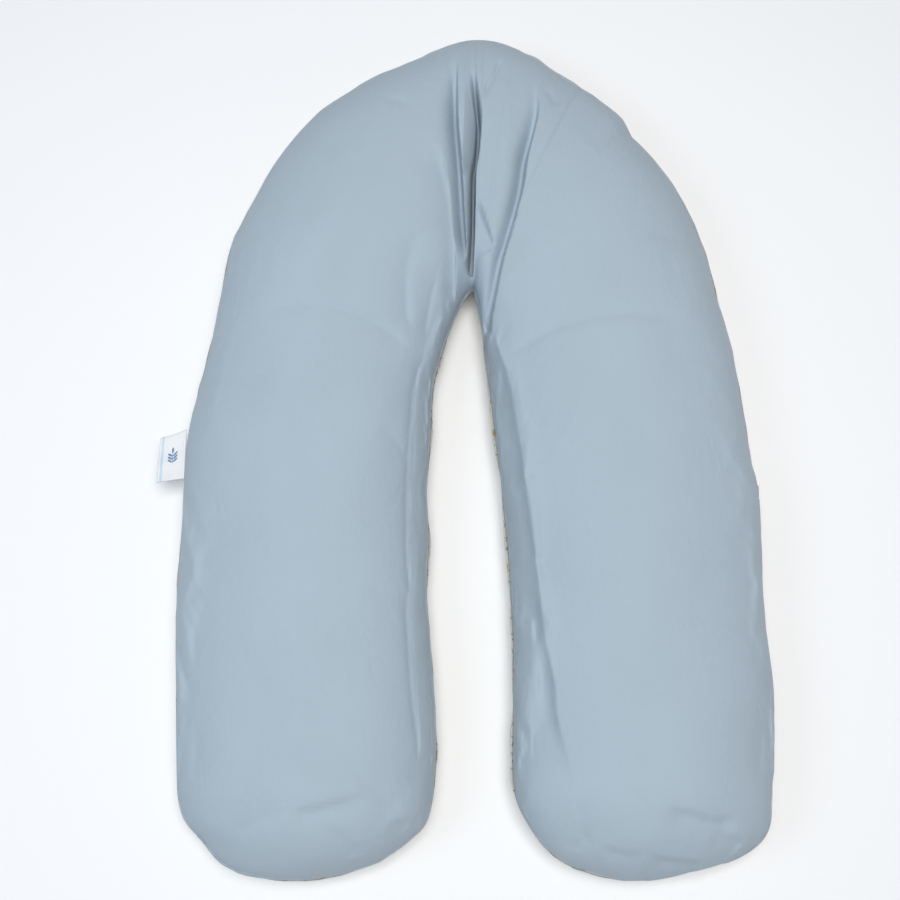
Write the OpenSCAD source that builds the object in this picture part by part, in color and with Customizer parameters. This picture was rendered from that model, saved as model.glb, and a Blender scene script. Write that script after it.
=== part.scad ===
// U-shaped nursing pillow: a removable zipped cover of two cotton panels over a stuffed inner cushion.
// Origin at the middle of the underside, +Y towards the bend, +Z up, millimetres.
// The pillow is one soft tube that hinges at its bend, so every soft layer is parted there into a
// left and a right piece, which meet at the fold plane.

/* [Pillow] */
// Height of the edge seam above the surface that the pillow lies on
seam_z = 62; // [56:1:68]
// Height of the crown above the edge seam
crown = 88; // [76:1:98]
// Depth of the underside below the seam, if it weren't pressed flat
belly = 74; // [70:1:82]
// Height left at the fold, as a share of the crown
fold_rise = 0.82; // [0.7:0.01:1]
// Length of each rounded arm end
tip_len = 111; // [95:1:125]

/* [Layers] */
// Thickness of the cotton cover
cover_t = 0.8; // [0.6:0.1:1]
// Thickness of the inner cushion's case
case_t = 0.6; // [0.4:0.1:0.8]
// How far the inner cushion's edge lies inside the cover's edge
case_inset = 10; // [9:0.5:12]
// Width of a turned-in seam allowance
allowance = 7; // [5:0.5:8]

/* [Zip] */
// Half of the height of the slit that the zip closes
slit_half = 7; // [6:0.5:8]
// Length of the zip chain
chain_len = 342; // [330:1:342]
// Width of one zip tape
tape_w = 7.8; // [7:0.1:8]
// Length of the slider's body
slider_len = 9; // [8:0.5:10]
// Width of the slider's body
slider_w = 7.4; // [6.8:0.1:8]
// Length of the pull tab from its eye
pull_len = 22; // [18:1:28]

/* [Labels] */
// How far the woven label stands out from the seam
label_out = 32; // [24:1:36]
// Width of the woven label along the seam
label_w = 62; // [50:1:66]
// Length of the care label along the seam
care_w = 36; // [30:1:40]

/* [Hidden] */
$fn = 32;

fold_x = 20;          // plane where the left and right pieces meet
fold_gap = 0.2;       // clearance of each piece from that plane
seam_plane_gap = 0.3; // half of the filling's blunt edge
seam_half = 0.3;      // half of the thickness of a seam's turned-in edges
seam_clear = 0.6;     // clearance between a panel and the turned-in edges behind it
filling_clear = 2.2;  // clearance between the case and the filling
closing_share = 0.15; // the slit closes over this share of the way from one rib to the next
arm_end_y = -420;     // where the straight arm ends and its rounded end starts
zip_x = 367;          // outer edge of the right arm along the zip
across = 10;          // facets across an arm, from one seam to the other
tip_angle = 80;       // how far round the end's curve the last rib lies
tip_power = 2 / 2.3;  // squareness of the arm's end

// Ribs run across the pillow from its outer seam to its inner seam: [outer point, inner point].
right_ribs = [
    [[fold_x, 533], [fold_x, 185]], [[95, 507], [24, 171]], [[178, 450], [28, 155]],
    [[250, 367], [32, 130]], [[300, 280], [37, 95]], [[327, 180], [43, 45]], [[347, 70], [50, -25]],
    [[zip_x, -50], [57, -100]], [[zip_x, -170], [63, -185]], [[zip_x, -300], [66, -302]],
    [[zip_x, arm_end_y], [67, arm_end_y]]
];
left_ribs = [
    [[fold_x, 533], [fold_x, 185]], [[-57, 503], [8, 176]], [[-150, 451], [-2, 155]],
    [[-235, 365], [-15, 122]], [[-286, 255], [-30, 78]], [[-308, 140], [-36, 30]], [[-334, 15], [-39, -35]],
    [[-337, -75], [-41, -100]], [[-338, -185], [-40, -195]], [[-334, -300], [-33, -300]],
    [[-330, arm_end_y], [-30, arm_end_y]]
];
// Places of the ribs that are built, counted along the lists above. The two odd ones frame the slit.
stations = concat(
    [for (t = [0:0.5:7]) t], [7 + closing_share],
    [for (t = [7.5:0.5:9.5]) t], [10 - closing_share, 10]
);
tip_steps = [15, 32, 48, 62, 73, tip_angle]; // angles of the ribs round the arm's end
slit_from = 7;  // station where the slit starts to open
slit_to = 10;   // station where it has closed again

RIGHT = 1;
LEFT = -1;
FRONT = 1;
BACK = -1;

fabric_front = "#AFC0D2";
fabric_back = "#E4DDC9";
case_white = "#F2F1EC";
filling_white = "#FAFAF7";
zip_grey = "#9FA9B4";
zip_metal = "#C9CDD2";
label_white = "#F4F4F1";
thread_white = "#E9EBEE";

function ribs_of(side) = side == RIGHT ? right_ribs : left_ribs;

// Point on the smooth curve through one end of the ribs, at station t
function curve(ribs, end, t) =
    let (
        last = len(ribs) - 1,
        i = min(floor(t), last - 1),
        f = t - i,
        a = ribs[max(i - 1, 0)][end],
        b = ribs[i][end],
        c = ribs[i + 1][end],
        d = ribs[min(i + 2, last)][end]
    )
    (2 * b + (c - a) * f + (2 * a - 5 * b + 4 * c - d) * f * f + (3 * b - a - 3 * c + d) * f * f * f) / 2;

function unit(v) = v / norm(v);

// Both ends of a rib of the arm, drawn in by inset at each seam
function arm_rib(side, t, inset) =
    let (
        ribs = ribs_of(side),
        o = curve(ribs, 0, t),
        i = curve(ribs, 1, t),
        d = unit(i - o) * inset
    )
    [o + d, i - d];

// Both ends of a rib of the rounded end, at angle a along its curve
function tip_rib(side, a, inset) =
    let (
        last = ribs_of(side)[len(ribs_of(side)) - 1],
        mid = (last[0] + last[1]) / 2,
        half = norm(last[0] - last[1]) / 2 - inset,
        x = half * pow(cos(a), tip_power),
        y = (tip_len - inset) * pow(sin(a), tip_power)
    )
    [[mid[0] + side * x, mid[1] - y], [mid[0] - side * x, mid[1] - y]];

// All ribs of one half, each as [outer end, inner end, height share, slit share, closeness to the fold]
function ribs(side, inset) = concat(
    [for (t = stations) concat(arm_rib(side, t, inset), [1, slit_share(t), fold_share(t)])],
    [for (a = tip_steps) concat(tip_rib(side, a, inset), [cos(a * 90 / tip_angle), 0, 0])]
);

function slit_share(t) = t > slit_from && t < slit_to ? 1 : 0;
function fold_share(t) = t < 2 ? pow(1 - t / 2, 2) : 0;

// Height of a layer over or under the seam. sink is how far it lies inside the cover's outer face.
function rise(face, a, share, near_fold, sink) =
    face == FRONT
        ? (crown - sink) * share * (1 - (1 - fold_rise) * near_fold) * sin(a)
        : -min((belly - sink) * share * sin(a), seam_z - sink);

// The points of a layer's face: one row for each rib, from the outer seam to the inner seam.
// slit is the half height of the zip's slit, which only the cover has, and edge lifts the rim.
function layer(side, face, inset, sink, slit = 0, edge = 0) = [
    for (r = ribs(side, inset))
        let (open = side == RIGHT ? asin(slit * r[3] / (face == FRONT ? crown : belly)) : 0)
        [for (j = [0:across])
            let (
                k = j / across,
                a = 180 * k + open * pow(1 - k, 3),
                w = (1 - cos(a)) / 2
            )
            [
                r[0][0] + (r[1][0] - r[0][0]) * w,
                r[0][1] + (r[1][1] - r[0][1]) * w,
                seam_z + face * edge + rise(face, a, r[2], r[4], sink)
            ]
        ]
];

function backwards(list) = [for (n = [len(list) - 1:-1:0]) list[n]];

// A closed solid between two grids of points of the same size. The rows of a right-handed pair of
// grids are counted backwards, so that every face looks outwards.
module between(a, b, left_handed) {
    rows = len(a);
    cols = len(a[0]);
    n = rows * cols;
    grids = concat(a, b);
    points = [for (r = grids) each left_handed ? r : backwards(r)];
    quads = concat(
        [for (i = [0:rows - 2], j = [0:cols - 2])
            [i * cols + j + 1, (i + 1) * cols + j + 1, (i + 1) * cols + j, i * cols + j]],
        [for (i = [0:rows - 2], j = [0:cols - 2])
            [n + i * cols + j, n + (i + 1) * cols + j, n + (i + 1) * cols + j + 1, n + i * cols + j + 1]],
        [for (i = [0:rows - 2])
            [n + (i + 1) * cols, n + i * cols, i * cols, (i + 1) * cols]],
        [for (i = [0:rows - 2])
            [n + i * cols + cols - 1, n + (i + 1) * cols + cols - 1,
             (i + 1) * cols + cols - 1, i * cols + cols - 1]],
        [for (j = [0:cols - 2]) [n + j, n + j + 1, j + 1, j]],
        [for (j = [0:cols - 2])
            [2 * n - cols + j + 1, 2 * n - cols + j, n - cols + j, n - cols + j + 1]]
    );
    triangles = [for (q = quads) each [[q[0], q[1], q[2]], [q[0], q[2], q[3]]]];
    polyhedron(points, triangles, convexity = 8);
}

// Parts a half from its neighbour: cuts it back from the fold plane by the clearance
module parted() {
    reach = 1200;
    difference() {
        children();
        translate([fold_x, 0, 0]) cube([2 * fold_gap, reach, reach], center = true);
    }
}

// One fabric panel: a sheet of thickness t, inset and sunk from the cover's outer face
module panel(side, face, inset, sink, t, slit = 0) {
    parted()
        between(
            layer(side, face, inset, sink, slit),
            layer(side, face, inset + t, sink + t, slit),
            side * face < 0
        );
}

// The rim of one half at an inset, from the fold round the arm's end and back to the fold
function rim(side, inset) =
    let (all = ribs(side, inset))
    concat([for (r = all) r[0]], [for (i = [len(all) - 1:-1:0]) all[i][1]]);

// A flat band along the rim between two insets, from rim point first to rim point last
module band(side, inset, width, half, first, last) {
    outer = rim(side, inset);
    inner = rim(side, inset + width);
    parted()
        between(
            [for (i = [first:last]) [for (p = [outer[i], inner[i]]) [p[0], p[1], seam_z + half]]],
            [for (i = [first:last]) [for (p = [outer[i], inner[i]]) [p[0], p[1], seam_z - half]]],
            side < 0
        );
}

rim_last = 2 * (len(stations) + len(tip_steps)) - 1;
slit_first = search(slit_from, stations)[0];
slit_last = search(slit_to, stations)[0];

module cover_front_right() {
    color(fabric_front) panel(RIGHT, FRONT, 0, 0, cover_t, slit_half);
}

module cover_front_left() {
    color(fabric_front) panel(LEFT, FRONT, 0, 0, cover_t);
}

module cover_back_right() {
    color(fabric_back) panel(RIGHT, BACK, 0, 0, cover_t, slit_half);
}

module cover_back_left() {
    color(fabric_back) panel(LEFT, BACK, 0, 0, cover_t);
}

// The turned-in edges of both cover panels, sewn together; the zip takes their place along the slit
module cover_seam_right() {
    color(thread_white) {
        band(RIGHT, cover_t + seam_clear, allowance, seam_half, 0, slit_first);
        band(RIGHT, cover_t + seam_clear, allowance, seam_half, slit_last, rim_last);
    }
}

module cover_seam_left() {
    color(thread_white) band(LEFT, cover_t + seam_clear, allowance, seam_half, 0, rim_last);
}

case_sink = cover_t + 2; // depth of the case below the cover's outer face, where both are crowned
module inner_case_front_right() {
    color(case_white) panel(RIGHT, FRONT, case_inset, case_sink, case_t);
}

module inner_case_front_left() {
    color(case_white) panel(LEFT, FRONT, case_inset, case_sink, case_t);
}

module inner_case_back_right() {
    color(case_white) panel(RIGHT, BACK, case_inset, case_sink, case_t);
}

module inner_case_back_left() {
    color(case_white) panel(LEFT, BACK, case_inset, case_sink, case_t);
}

module inner_seam_right() {
    color(thread_white) band(RIGHT, case_inset + case_t + seam_clear, allowance, seam_half, 0, rim_last);
}

module inner_seam_left() {
    color(thread_white) band(LEFT, case_inset + case_t + seam_clear, allowance, seam_half, 0, rim_last);
}

// The hand-closed filling slot at the right arm's end: a row of overcast stitches round the case's edge
stitch_count = 12;
stitch_pitch = 4;
module inner_closing_stitches() {
    end = tip_rib(RIGHT, tip_angle, case_inset);
    mid = (end[0] + end[1]) / 2;
    color(thread_white)
        for (n = [0:stitch_count - 1])
            translate([mid[0] + (n - (stitch_count - 1) / 2) * stitch_pitch, mid[1] - 0.5, seam_z - 1.5])
                cylinder(h = 3, r = 0.4);
}

module filling(side) {
    inset = case_inset + case_t + seam_clear + allowance + filling_clear;
    sink = case_sink + case_t + filling_clear;
    parted()
        between(
            layer(side, FRONT, inset, sink, 0, seam_plane_gap),
            layer(side, BACK, inset, sink, 0, seam_plane_gap),
            side < 0
        );
}

module filling_right() {
    color(filling_white) filling(RIGHT);
}

module filling_left() {
    color(filling_white) filling(LEFT);
}

// Zip: the chain runs along Y with its face towards +X. Places are counted from the chain's top end.
zip_top_y = -64;
tape_t = 0.5;
tape_x = zip_x - 3.75; // back face of the tapes
tape_spare = 5;        // tape left past each end of the chain
tape_slot = 0.7;       // half of the slot between the tapes
coil_r = 0.85;
coil_z = 1.35;         // middle of one coil from the seam plane
coil_x = tape_x + tape_t + coil_r;
stop_len = 2.5;
plate_t = 0.9;
plate_front_x = coil_x + coil_r + 0.3;
plate_back_x = tape_x - 0.35 - plate_t;
web_half = 0.2;
pin_r = 0.6;
pin_x = plate_front_x + plate_t + 1.9;
pin_half = 2.4;
eye_r = 1.5;
eye_bore = 0.85;
eye_half = 1.5;
pull_w = 5;
pull_t = 0.9;
slider_y = zip_top_y - 1 - slider_len / 2;
pin_y = slider_y + slider_len / 4;

module tape() {
    translate([tape_x, zip_top_y - chain_len - tape_spare, 0])
        cube([tape_t, chain_len + 2 * tape_spare, tape_w]);
}

module coil() {
    translate([coil_x, zip_top_y, coil_z]) rotate([90, 0, 0]) cylinder(h = chain_len, r = coil_r);
}

module zip_tape_front() {
    color(zip_grey) translate([0, 0, seam_z + tape_slot]) tape();
}

module zip_tape_back() {
    color(zip_grey) translate([0, 0, seam_z - tape_slot]) mirror([0, 0, 1]) tape();
}

module zip_coil_front() {
    color(zip_grey) translate([0, 0, seam_z]) coil();
}

module zip_coil_back() {
    color(zip_grey) translate([0, 0, seam_z]) mirror([0, 0, 1]) coil();
}

// One clip on each tape's edge above the chain
module zip_top_stops() {
    color(zip_metal)
        for (s = [FRONT, BACK])
            translate([tape_x + tape_t, zip_top_y, seam_z + s * coil_z - coil_r])
                cube([2 * coil_r, stop_len, 2 * coil_r]);
}

// One clip across both coils below the chain
module zip_bottom_stop() {
    color(zip_metal)
        translate([tape_x + tape_t, zip_top_y - chain_len - stop_len, seam_z - coil_z - coil_r])
            cube([2 * coil_r, stop_len, 2 * (coil_z + coil_r)]);
}

// A slider plate: a rectangle with round corners
module plate(thick) {
    corner = 1.6;
    rotate([90, 0, 90])
        linear_extrude(thick) {
            square([slider_len, slider_w - 2 * corner], center = true);
            square([slider_len - 2 * corner, slider_w], center = true);
            for (y = [-1, 1], z = [-1, 1])
                translate([y * (slider_len / 2 - corner), z * (slider_w / 2 - corner)]) circle(corner);
        }
}

module zip_slider_body() {
    post_t = 0.9;
    color(zip_metal)
        translate([0, slider_y, seam_z]) {
            translate([plate_front_x, 0, 0]) plate(plate_t);
            translate([plate_back_x, 0, 0]) plate(plate_t);
            translate([plate_back_x + plate_t / 2, -slider_len / 4, -web_half])
                cube([plate_front_x - plate_back_x, slider_len / 2, 2 * web_half]);
            translate([pin_x, pin_y - slider_y, -pin_half]) cylinder(h = 2 * pin_half, r = pin_r);
            for (s = [-1, 1])
                translate([plate_front_x + plate_t / 2, pin_y - slider_y - 1, s * (pin_half - post_t / 2) - post_t / 2])
                    cube([pin_x - plate_front_x - plate_t / 2 + pin_r, 2, post_t]);
        }
}

module zip_pull_tab() {
    hole_r = 1.4;
    color(zip_metal)
        translate([pin_x, pin_y, seam_z])
            difference() {
                union() {
                    translate([0, 0, -eye_half]) cylinder(h = 2 * eye_half, r = eye_r);
                    translate([-pull_t / 2, -5, -eye_half]) cube([pull_t, 5, 2 * eye_half]);
                    translate([-pull_t / 2, 2.5 - pull_len, -pull_w / 2]) cube([pull_t, pull_len - 6, pull_w]);
                    translate([-pull_t / 2, 2.5 - pull_len, 0]) rotate([0, 90, 0]) cylinder(h = pull_t, r = pull_w / 2);
                }
                translate([0, 0, -eye_half - 1]) cylinder(h = 2 * eye_half + 2, r = eye_bore);
                translate([-pull_t, 2.5 - pull_len, 0]) rotate([0, 90, 0]) cylinder(h = 2 * pull_t, r = hole_r);
            }
}

// Woven label: a ribbon folded at its outer edge and sewn into the seam, with its end hanging askew
label_x = -338.2;
label_top_y = 2;
label_skew = 10;
label_ply = 0.35;
label_r = 0.45; // radius of the rolled edges
module label_edge(from, to) {
    d = to - from;
    translate([from[0], from[1], 0])
        rotate([-90, 0, atan2(-d[0], d[1])]) cylinder(h = norm(d), r = label_r);
}

module woven_label() {
    corners = [
        [0, 0], [-label_out, -label_skew],
        [-label_out - 3, -label_skew - label_w + 8], [0, -label_w]
    ];
    color(label_white)
        translate([label_x, label_top_y, seam_z]) {
            translate([0, 0, label_r - label_ply]) linear_extrude(label_ply) polygon(corners);
            translate([0, 0, -label_r]) linear_extrude(label_ply) polygon(corners);
            label_edge(corners[3], corners[0]);
            label_edge(corners[2], corners[1]);
        }
}

// The stitches that close the ribbon near its sewn edge
module label_stitches() {
    length = 3;
    count = 12;
    pitch = (label_w - 4) / count;
    color(thread_white)
        for (n = [0:count - 1])
            translate([label_x - 3, label_top_y - 3 - n * pitch - length, seam_z + label_r])
                cube([0.4, length, 0.3]);
}

// Folded care label, sewn to the underside of the inner edge's seam allowance inside the cover
care_y = -300;
care_drop = 10;
care_t = 0.5;
module care_label() {
    inward = 6.5;
    edge_x = curve(right_ribs, 1, 9)[0];
    color(label_white)
        translate([edge_x + inward, care_y, seam_z - seam_half - care_drop]) cube([care_t, care_w, care_drop]);
}

cover_front_right();
cover_front_left();
cover_back_right();
cover_back_left();
cover_seam_right();
cover_seam_left();
inner_case_front_right();
inner_case_front_left();
inner_case_back_right();
inner_case_back_left();
inner_seam_right();
inner_seam_left();
inner_closing_stitches();
filling_right();
filling_left();
zip_tape_front();
zip_tape_back();
zip_coil_front();
zip_coil_back();
zip_top_stops();
zip_bottom_stop();
zip_slider_body();
zip_pull_tab();
woven_label();
label_stitches();
care_label();
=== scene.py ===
"""A U-shaped nursing pillow: a stuffed inner cushion in a zipped cover with a plain and a printed side.

Lengths are in metres. The pillow lies on the floor with its plain side up and its bend towards +Y.
A soft layer is a grid of points: its rows run across the tube, from the outer seam to the inner
seam, and follow each other from the left arm's end over the bend to the right arm's end.
"""

import math

import bmesh
import bpy
import numpy as np
from bpy.props import FloatProperty, FloatVectorProperty, IntProperty, PointerProperty
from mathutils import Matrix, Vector


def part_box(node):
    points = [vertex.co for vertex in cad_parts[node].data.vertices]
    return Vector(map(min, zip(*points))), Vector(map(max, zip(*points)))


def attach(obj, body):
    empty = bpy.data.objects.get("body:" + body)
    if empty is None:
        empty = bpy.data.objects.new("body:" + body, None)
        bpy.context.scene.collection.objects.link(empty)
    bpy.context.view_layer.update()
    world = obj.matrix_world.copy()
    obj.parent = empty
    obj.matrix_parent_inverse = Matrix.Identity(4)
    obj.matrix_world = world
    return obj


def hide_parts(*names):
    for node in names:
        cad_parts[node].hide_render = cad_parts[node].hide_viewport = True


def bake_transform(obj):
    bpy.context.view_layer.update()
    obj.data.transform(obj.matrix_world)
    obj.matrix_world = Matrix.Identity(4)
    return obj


bl_info = {
    "name": "Nursing pillow",
    "version": (1, 0, 0),
    "blender": (4, 5, 0),
    "location": "View3D > Sidebar > Pillow",
    "description": "Builds a stuffed U-shaped nursing pillow with its cover, zip and labels",
    "category": "Object",
}

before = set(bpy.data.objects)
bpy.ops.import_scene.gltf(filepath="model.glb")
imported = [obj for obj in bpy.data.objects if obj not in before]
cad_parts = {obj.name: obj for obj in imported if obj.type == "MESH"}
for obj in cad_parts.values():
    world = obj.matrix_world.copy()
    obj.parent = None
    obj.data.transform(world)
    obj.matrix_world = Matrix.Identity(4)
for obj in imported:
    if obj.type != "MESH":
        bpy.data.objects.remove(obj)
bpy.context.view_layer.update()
MM = 0.001

FRONT = 1
BACK = -1

# Ribs across the tube as (outer seam point, inner seam point), in millimetres in plan.
LEFT_RIBS = (
    ((-254, -523), (-92, -510)), ((-278, -510), (-78, -501)), ((-298, -488), (-60, -488)),
    ((-319, -465), (-41, -469)), ((-327, -443), (-33, -443)), ((-330, -416), (-31, -416)),
    ((-332, -370), (-29, -370)), ((-334, -315), (-32, -310)), ((-338, -257), (-37, -250)),
    ((-339, -200), (-41, -190)), ((-337, -136), (-39, -132)), ((-337, -62), (-41, -80)),
    ((-334, 0), (-39, -38)), ((-326, 42), (-37, 2)), ((-314, 92), (-36, 32)),
    ((-305, 145), (-33, 62)), ((-297, 198), (-26, 90)), ((-287, 252), (-19, 113)),
    ((-263, 307), (-12, 132)), ((-233, 363), (-6, 148)), ((-191, 417), (0, 161)),
    ((-154, 448), (6, 171)), ((-108, 478), (11, 178)), ((-55, 503), (15, 183)),
    ((-10, 524), (18, 185)),
)
BEND_RIB = ((21, 531), (20, 186))
RIGHT_RIBS = (
    ((56, 526), (21, 182)), ((94, 506), (22, 176)), ((134, 477), (24, 168)),
    ((178, 448), (26, 158)), ((211, 420), (28, 148)), ((226, 392), (30, 138)),
    ((251, 364), (32, 124)), ((272, 335), (34, 108)), ((288, 305), (36, 90)),
    ((303, 268), (39, 66)), ((317, 225), (42, 44)), ((327, 172), (45, 16)),
    ((340, 118), (48, -12)), ((347, 66), (51, -40)), ((353, 14), (54, -68)),
    ((360, -37), (57, -98)), ((366, -87), (60, -128)), ((366, -145), (63, -163)),
    ((365, -205), (65, -209)), ((367, -257), (67, -262)), ((371, -308), (66, -315)),
    ((370, -355), (66, -360)), ((367, -405), (65, -410)), ((364, -443), (69, -443)),
    ((358, -475), (80, -467)), ((342, -495), (95, -489)), ((314, -510), (108, -501)),
    ((284, -515), (122, -511)),
)
TIP_BULGE = {"left": 13 * MM, "right": 18 * MM}


def cad_middle(node, axis):
    """Middle of a CAD node along one axis."""
    low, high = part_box(node)
    return (low[axis] + high[axis]) / 2


SEAM_Z = cad_middle("cover_seam_left", 2)
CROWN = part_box("cover_front_left")[1].z - SEAM_Z


class PillowShape(bpy.types.PropertyGroup):
    """Sizes of the stuffed tube"""

    seam_z: FloatProperty(
        name="Seam height", description="Height of the edge seam above the floor",
        default=SEAM_Z, unit="LENGTH",
    )
    crown: FloatProperty(
        name="Crown", description="Height of the upper side above the edge seam",
        default=CROWN, unit="LENGTH",
    )
    belly: FloatProperty(
        name="Belly", description="Depth of the underside if the floor didn't flatten it",
        default=0.074, unit="LENGTH",
    )
    tip_length: FloatProperty(
        name="Tip length", description="Length over which an arm's end rounds off",
        default=0.098, unit="LENGTH",
    )
    fold_drop: FloatProperty(
        name="Fold drop", description="Share of the crown that is lost where the tube bends",
        default=0.2, subtype="FACTOR",
    )
    cover_thickness: FloatProperty(
        name="Cover thickness", description="Thickness of the cover's cotton",
        default=0.0008, unit="LENGTH",
    )


class PillowCloth(bpy.types.PropertyGroup):
    """Cloth simulation and the colours of the fabrics"""

    frames: IntProperty(
        name="Frames", description="Frames of simulation that settle the cloth", default=20,
    )
    pressure: FloatProperty(
        name="Pressure", description="Pressure of the filling on the cloth", default=4.0,
    )
    spare: FloatProperty(
        name="Spare cloth", description="Share by which the cloth is cut larger than the shape",
        default=0.035, subtype="FACTOR",
    )
    travel: FloatProperty(
        name="Travel", description="Furthest that a point of the cloth may move",
        default=0.009, unit="LENGTH",
    )
    sideways: FloatProperty(
        name="Sideways", description="Share of its sideways travel that the cloth keeps",
        default=0.05, subtype="FACTOR",
    )
    plain: FloatVectorProperty(
        name="Plain cotton", description="Colour of the plain side", subtype="COLOR",
        size=3, default=(0.382, 0.466, 0.540),
    )
    ground: FloatVectorProperty(
        name="Print ground", description="Ground colour of the printed side", subtype="COLOR",
        size=3, default=(0.74, 0.70, 0.60),
    )
    ochre: FloatVectorProperty(
        name="Print ochre", description="First colour of the print", subtype="COLOR",
        size=3, default=(0.56, 0.34, 0.07),
    )
    slate: FloatVectorProperty(
        name="Print slate", description="Second colour of the print", subtype="COLOR",
        size=3, default=(0.09, 0.10, 0.12),
    )
    sky: FloatVectorProperty(
        name="Print blue-grey", description="Third colour of the print", subtype="COLOR",
        size=3, default=(0.33, 0.43, 0.52),
    )


class PillowTrim(bpy.types.PropertyGroup):
    """Sizes of the zip, the stitches and the labels"""

    tooth_pitch: FloatProperty(
        name="Tooth pitch", description="Distance between two teeth of the zip",
        default=0.0016, unit="LENGTH",
    )
    stitch_pitch: FloatProperty(
        name="Stitch pitch", description="Distance between two stitches of the edge seam",
        default=0.0042, unit="LENGTH",
    )
    label_curl: FloatProperty(
        name="Label curl", description="How far the woven label's free edge lifts",
        default=0.004, unit="LENGTH",
    )


class PillowStage(bpy.types.PropertyGroup):
    """The floor, the lights and the camera"""

    elevation: FloatProperty(
        name="Elevation", description="Camera's angle above the horizon",
        default=math.radians(78), subtype="ANGLE",
    )
    distance: FloatProperty(
        name="Distance", description="Camera's distance from its target", default=1.55, unit="LENGTH",
    )
    lens: FloatProperty(
        name="Lens", description="Focal length", default=50.0, unit="CAMERA",
    )
    key_power: FloatProperty(
        name="Key power", description="Power of the large light overhead",
        default=74.0, unit="POWER",
    )


# Curves and grids


def through(points, places):
    """Points at the given places on the smooth curve through a list of points."""
    last = len(points) - 1
    i = np.clip(np.floor(places).astype(int), 0, last - 1)
    f = (places - i)[:, None]
    a, b = points[np.maximum(i - 1, 0)], points[i]
    c, d = points[i + 1], points[np.minimum(i + 2, last)]
    bend = 2 * a - 5 * b + 4 * c - d
    turn = 3 * b - a - 3 * c + d
    return (2 * b + (c - a) * f + bend * f**2 + turn * f**3) / 2


def smoothstep(x, low, high):
    """0 below low, 1 above high, and smooth in between."""
    t = np.clip((x - low) / (high - low), 0, 1)
    return t * t * (3 - 2 * t)


def ripple(x, y, waves):
    """A smooth uneven value from about -1 to 1: the mean of waves given as (length, angle, phase)."""
    total = np.zeros(np.broadcast(x, y).shape)
    for length, angle, phase in waves:
        along = x * math.cos(angle) + y * math.sin(angle)
        total += np.sin(2 * math.pi * along / length + phase)
    return total / len(waves)


def grid_normals(grid):
    """Unit normals of a grid of points, on the side that its rows and columns turn about."""
    rows = np.gradient(grid, axis=0)
    cols = np.gradient(grid, axis=1)
    n = np.cross(cols, rows)
    return n / np.maximum(np.linalg.norm(n, axis=2, keepdims=True), 1e-12)


def steady_normals(grid, reach=0.012):
    """Unit normals averaged over a length of cloth, so that crowded rows agree on a direction."""
    raw = np.cross(np.gradient(grid, axis=1), np.gradient(grid, axis=0))
    total = np.cumsum(np.concatenate([np.zeros_like(raw[:1]), raw]), axis=0)
    step = np.linalg.norm(np.diff(grid, axis=0), axis=2)
    run = np.concatenate([np.zeros((1, grid.shape[1])), np.cumsum(step, axis=0)])
    out = np.empty_like(raw)
    for j in range(grid.shape[1]):
        low = np.searchsorted(run[:, j], run[:, j] - reach)
        high = np.searchsorted(run[:, j], run[:, j] + reach, side="right")
        out[:, j] = total[high, j] - total[low, j]
    return out / np.maximum(np.linalg.norm(out, axis=2, keepdims=True), 1e-15)


class Tube:
    """The pillow's tube in plan: its ribs, and the places of rows along it."""

    SAMPLES = 2401  # points at which the tube's middle is measured
    BEND_ROWS = 0.09  # the extra rows lie this far on either side of the bend
    BEND_SPREAD = 0.105  # how far the bend's drop spreads along the tube

    def __init__(self, shape, inset=0.0):
        ribs = np.array([*LEFT_RIBS, BEND_RIB, *RIGHT_RIBS], float) * MM
        across = ribs[:, 1] - ribs[:, 0]
        across /= np.linalg.norm(across, axis=1, keepdims=True)
        self.outer = ribs[:, 0] + across * inset
        self.inner = ribs[:, 1] - across * inset
        self.inset = inset
        self.tip = shape.tip_length
        dense = np.linspace(0, len(ribs) - 1, self.SAMPLES)
        mid = (through(self.outer, dense) + through(self.inner, dense)) / 2
        steps = np.linalg.norm(np.diff(mid, axis=0), axis=1)
        self.dense = dense
        self.run = np.concatenate([[0], np.cumsum(steps)])
        self.bend_run = float(np.interp(len(LEFT_RIBS), dense, self.run))

    def rows(self, count, lip=(), bend_rows=0):
        """Distances of the rows along the tube's middle: closer together round the ends."""
        length = self.run[-1] - 2 * self.inset
        curl = self.tip * math.pi / 2
        param = np.linspace(0, length - 2 * self.tip + 2 * curl, count)
        extra = np.array(lip) * self.tip
        bend = self.bend_run - self.inset - self.tip + curl
        folded = bend + np.linspace(-self.BEND_ROWS, self.BEND_ROWS, bend_rows) if bend_rows else []
        param = np.unique(np.concatenate([param, folded, extra, param[-1] - extra]))
        near = np.minimum(param, param[-1] - param)
        rounded = self.tip * (1 - np.cos(np.clip(near / self.tip, 0, math.pi / 2)))
        along = np.where(near < curl, rounded, near - curl + self.tip)
        return self.inset + np.where(param < param[-1] / 2, along, length - along)

    def plan(self, rows, w):
        """Plan points, end share and nearness to the bend, for rows at distances and columns at shares w."""
        place = np.interp(rows, self.run, self.dense)
        outer, inner = through(self.outer, place), through(self.inner, place)
        points = outer[:, None] * (1 - w)[None, :, None] + inner[:, None] * w[None, :, None]
        total = self.run[-1]
        near = np.minimum(rows, total - rows) - self.inset
        fade = np.clip(1 - near / self.tip, 0, 1) ** 1.5
        bulge = np.where(rows < total / 2, TIP_BULGE["left"], TIP_BULGE["right"])
        bow = 4 * w * (1 - w)
        points[:, :, 1] -= (fade * (bulge + self.inset * 0.2))[:, None] * bow[None, :]
        share = np.sqrt(np.clip(1 - (1 - np.clip(near / self.tip, 0, 1)) ** 2, 0, 1))
        bend = np.exp(-(((rows - self.bend_run) / self.BEND_SPREAD) ** 2))
        return points, share, bend


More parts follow.
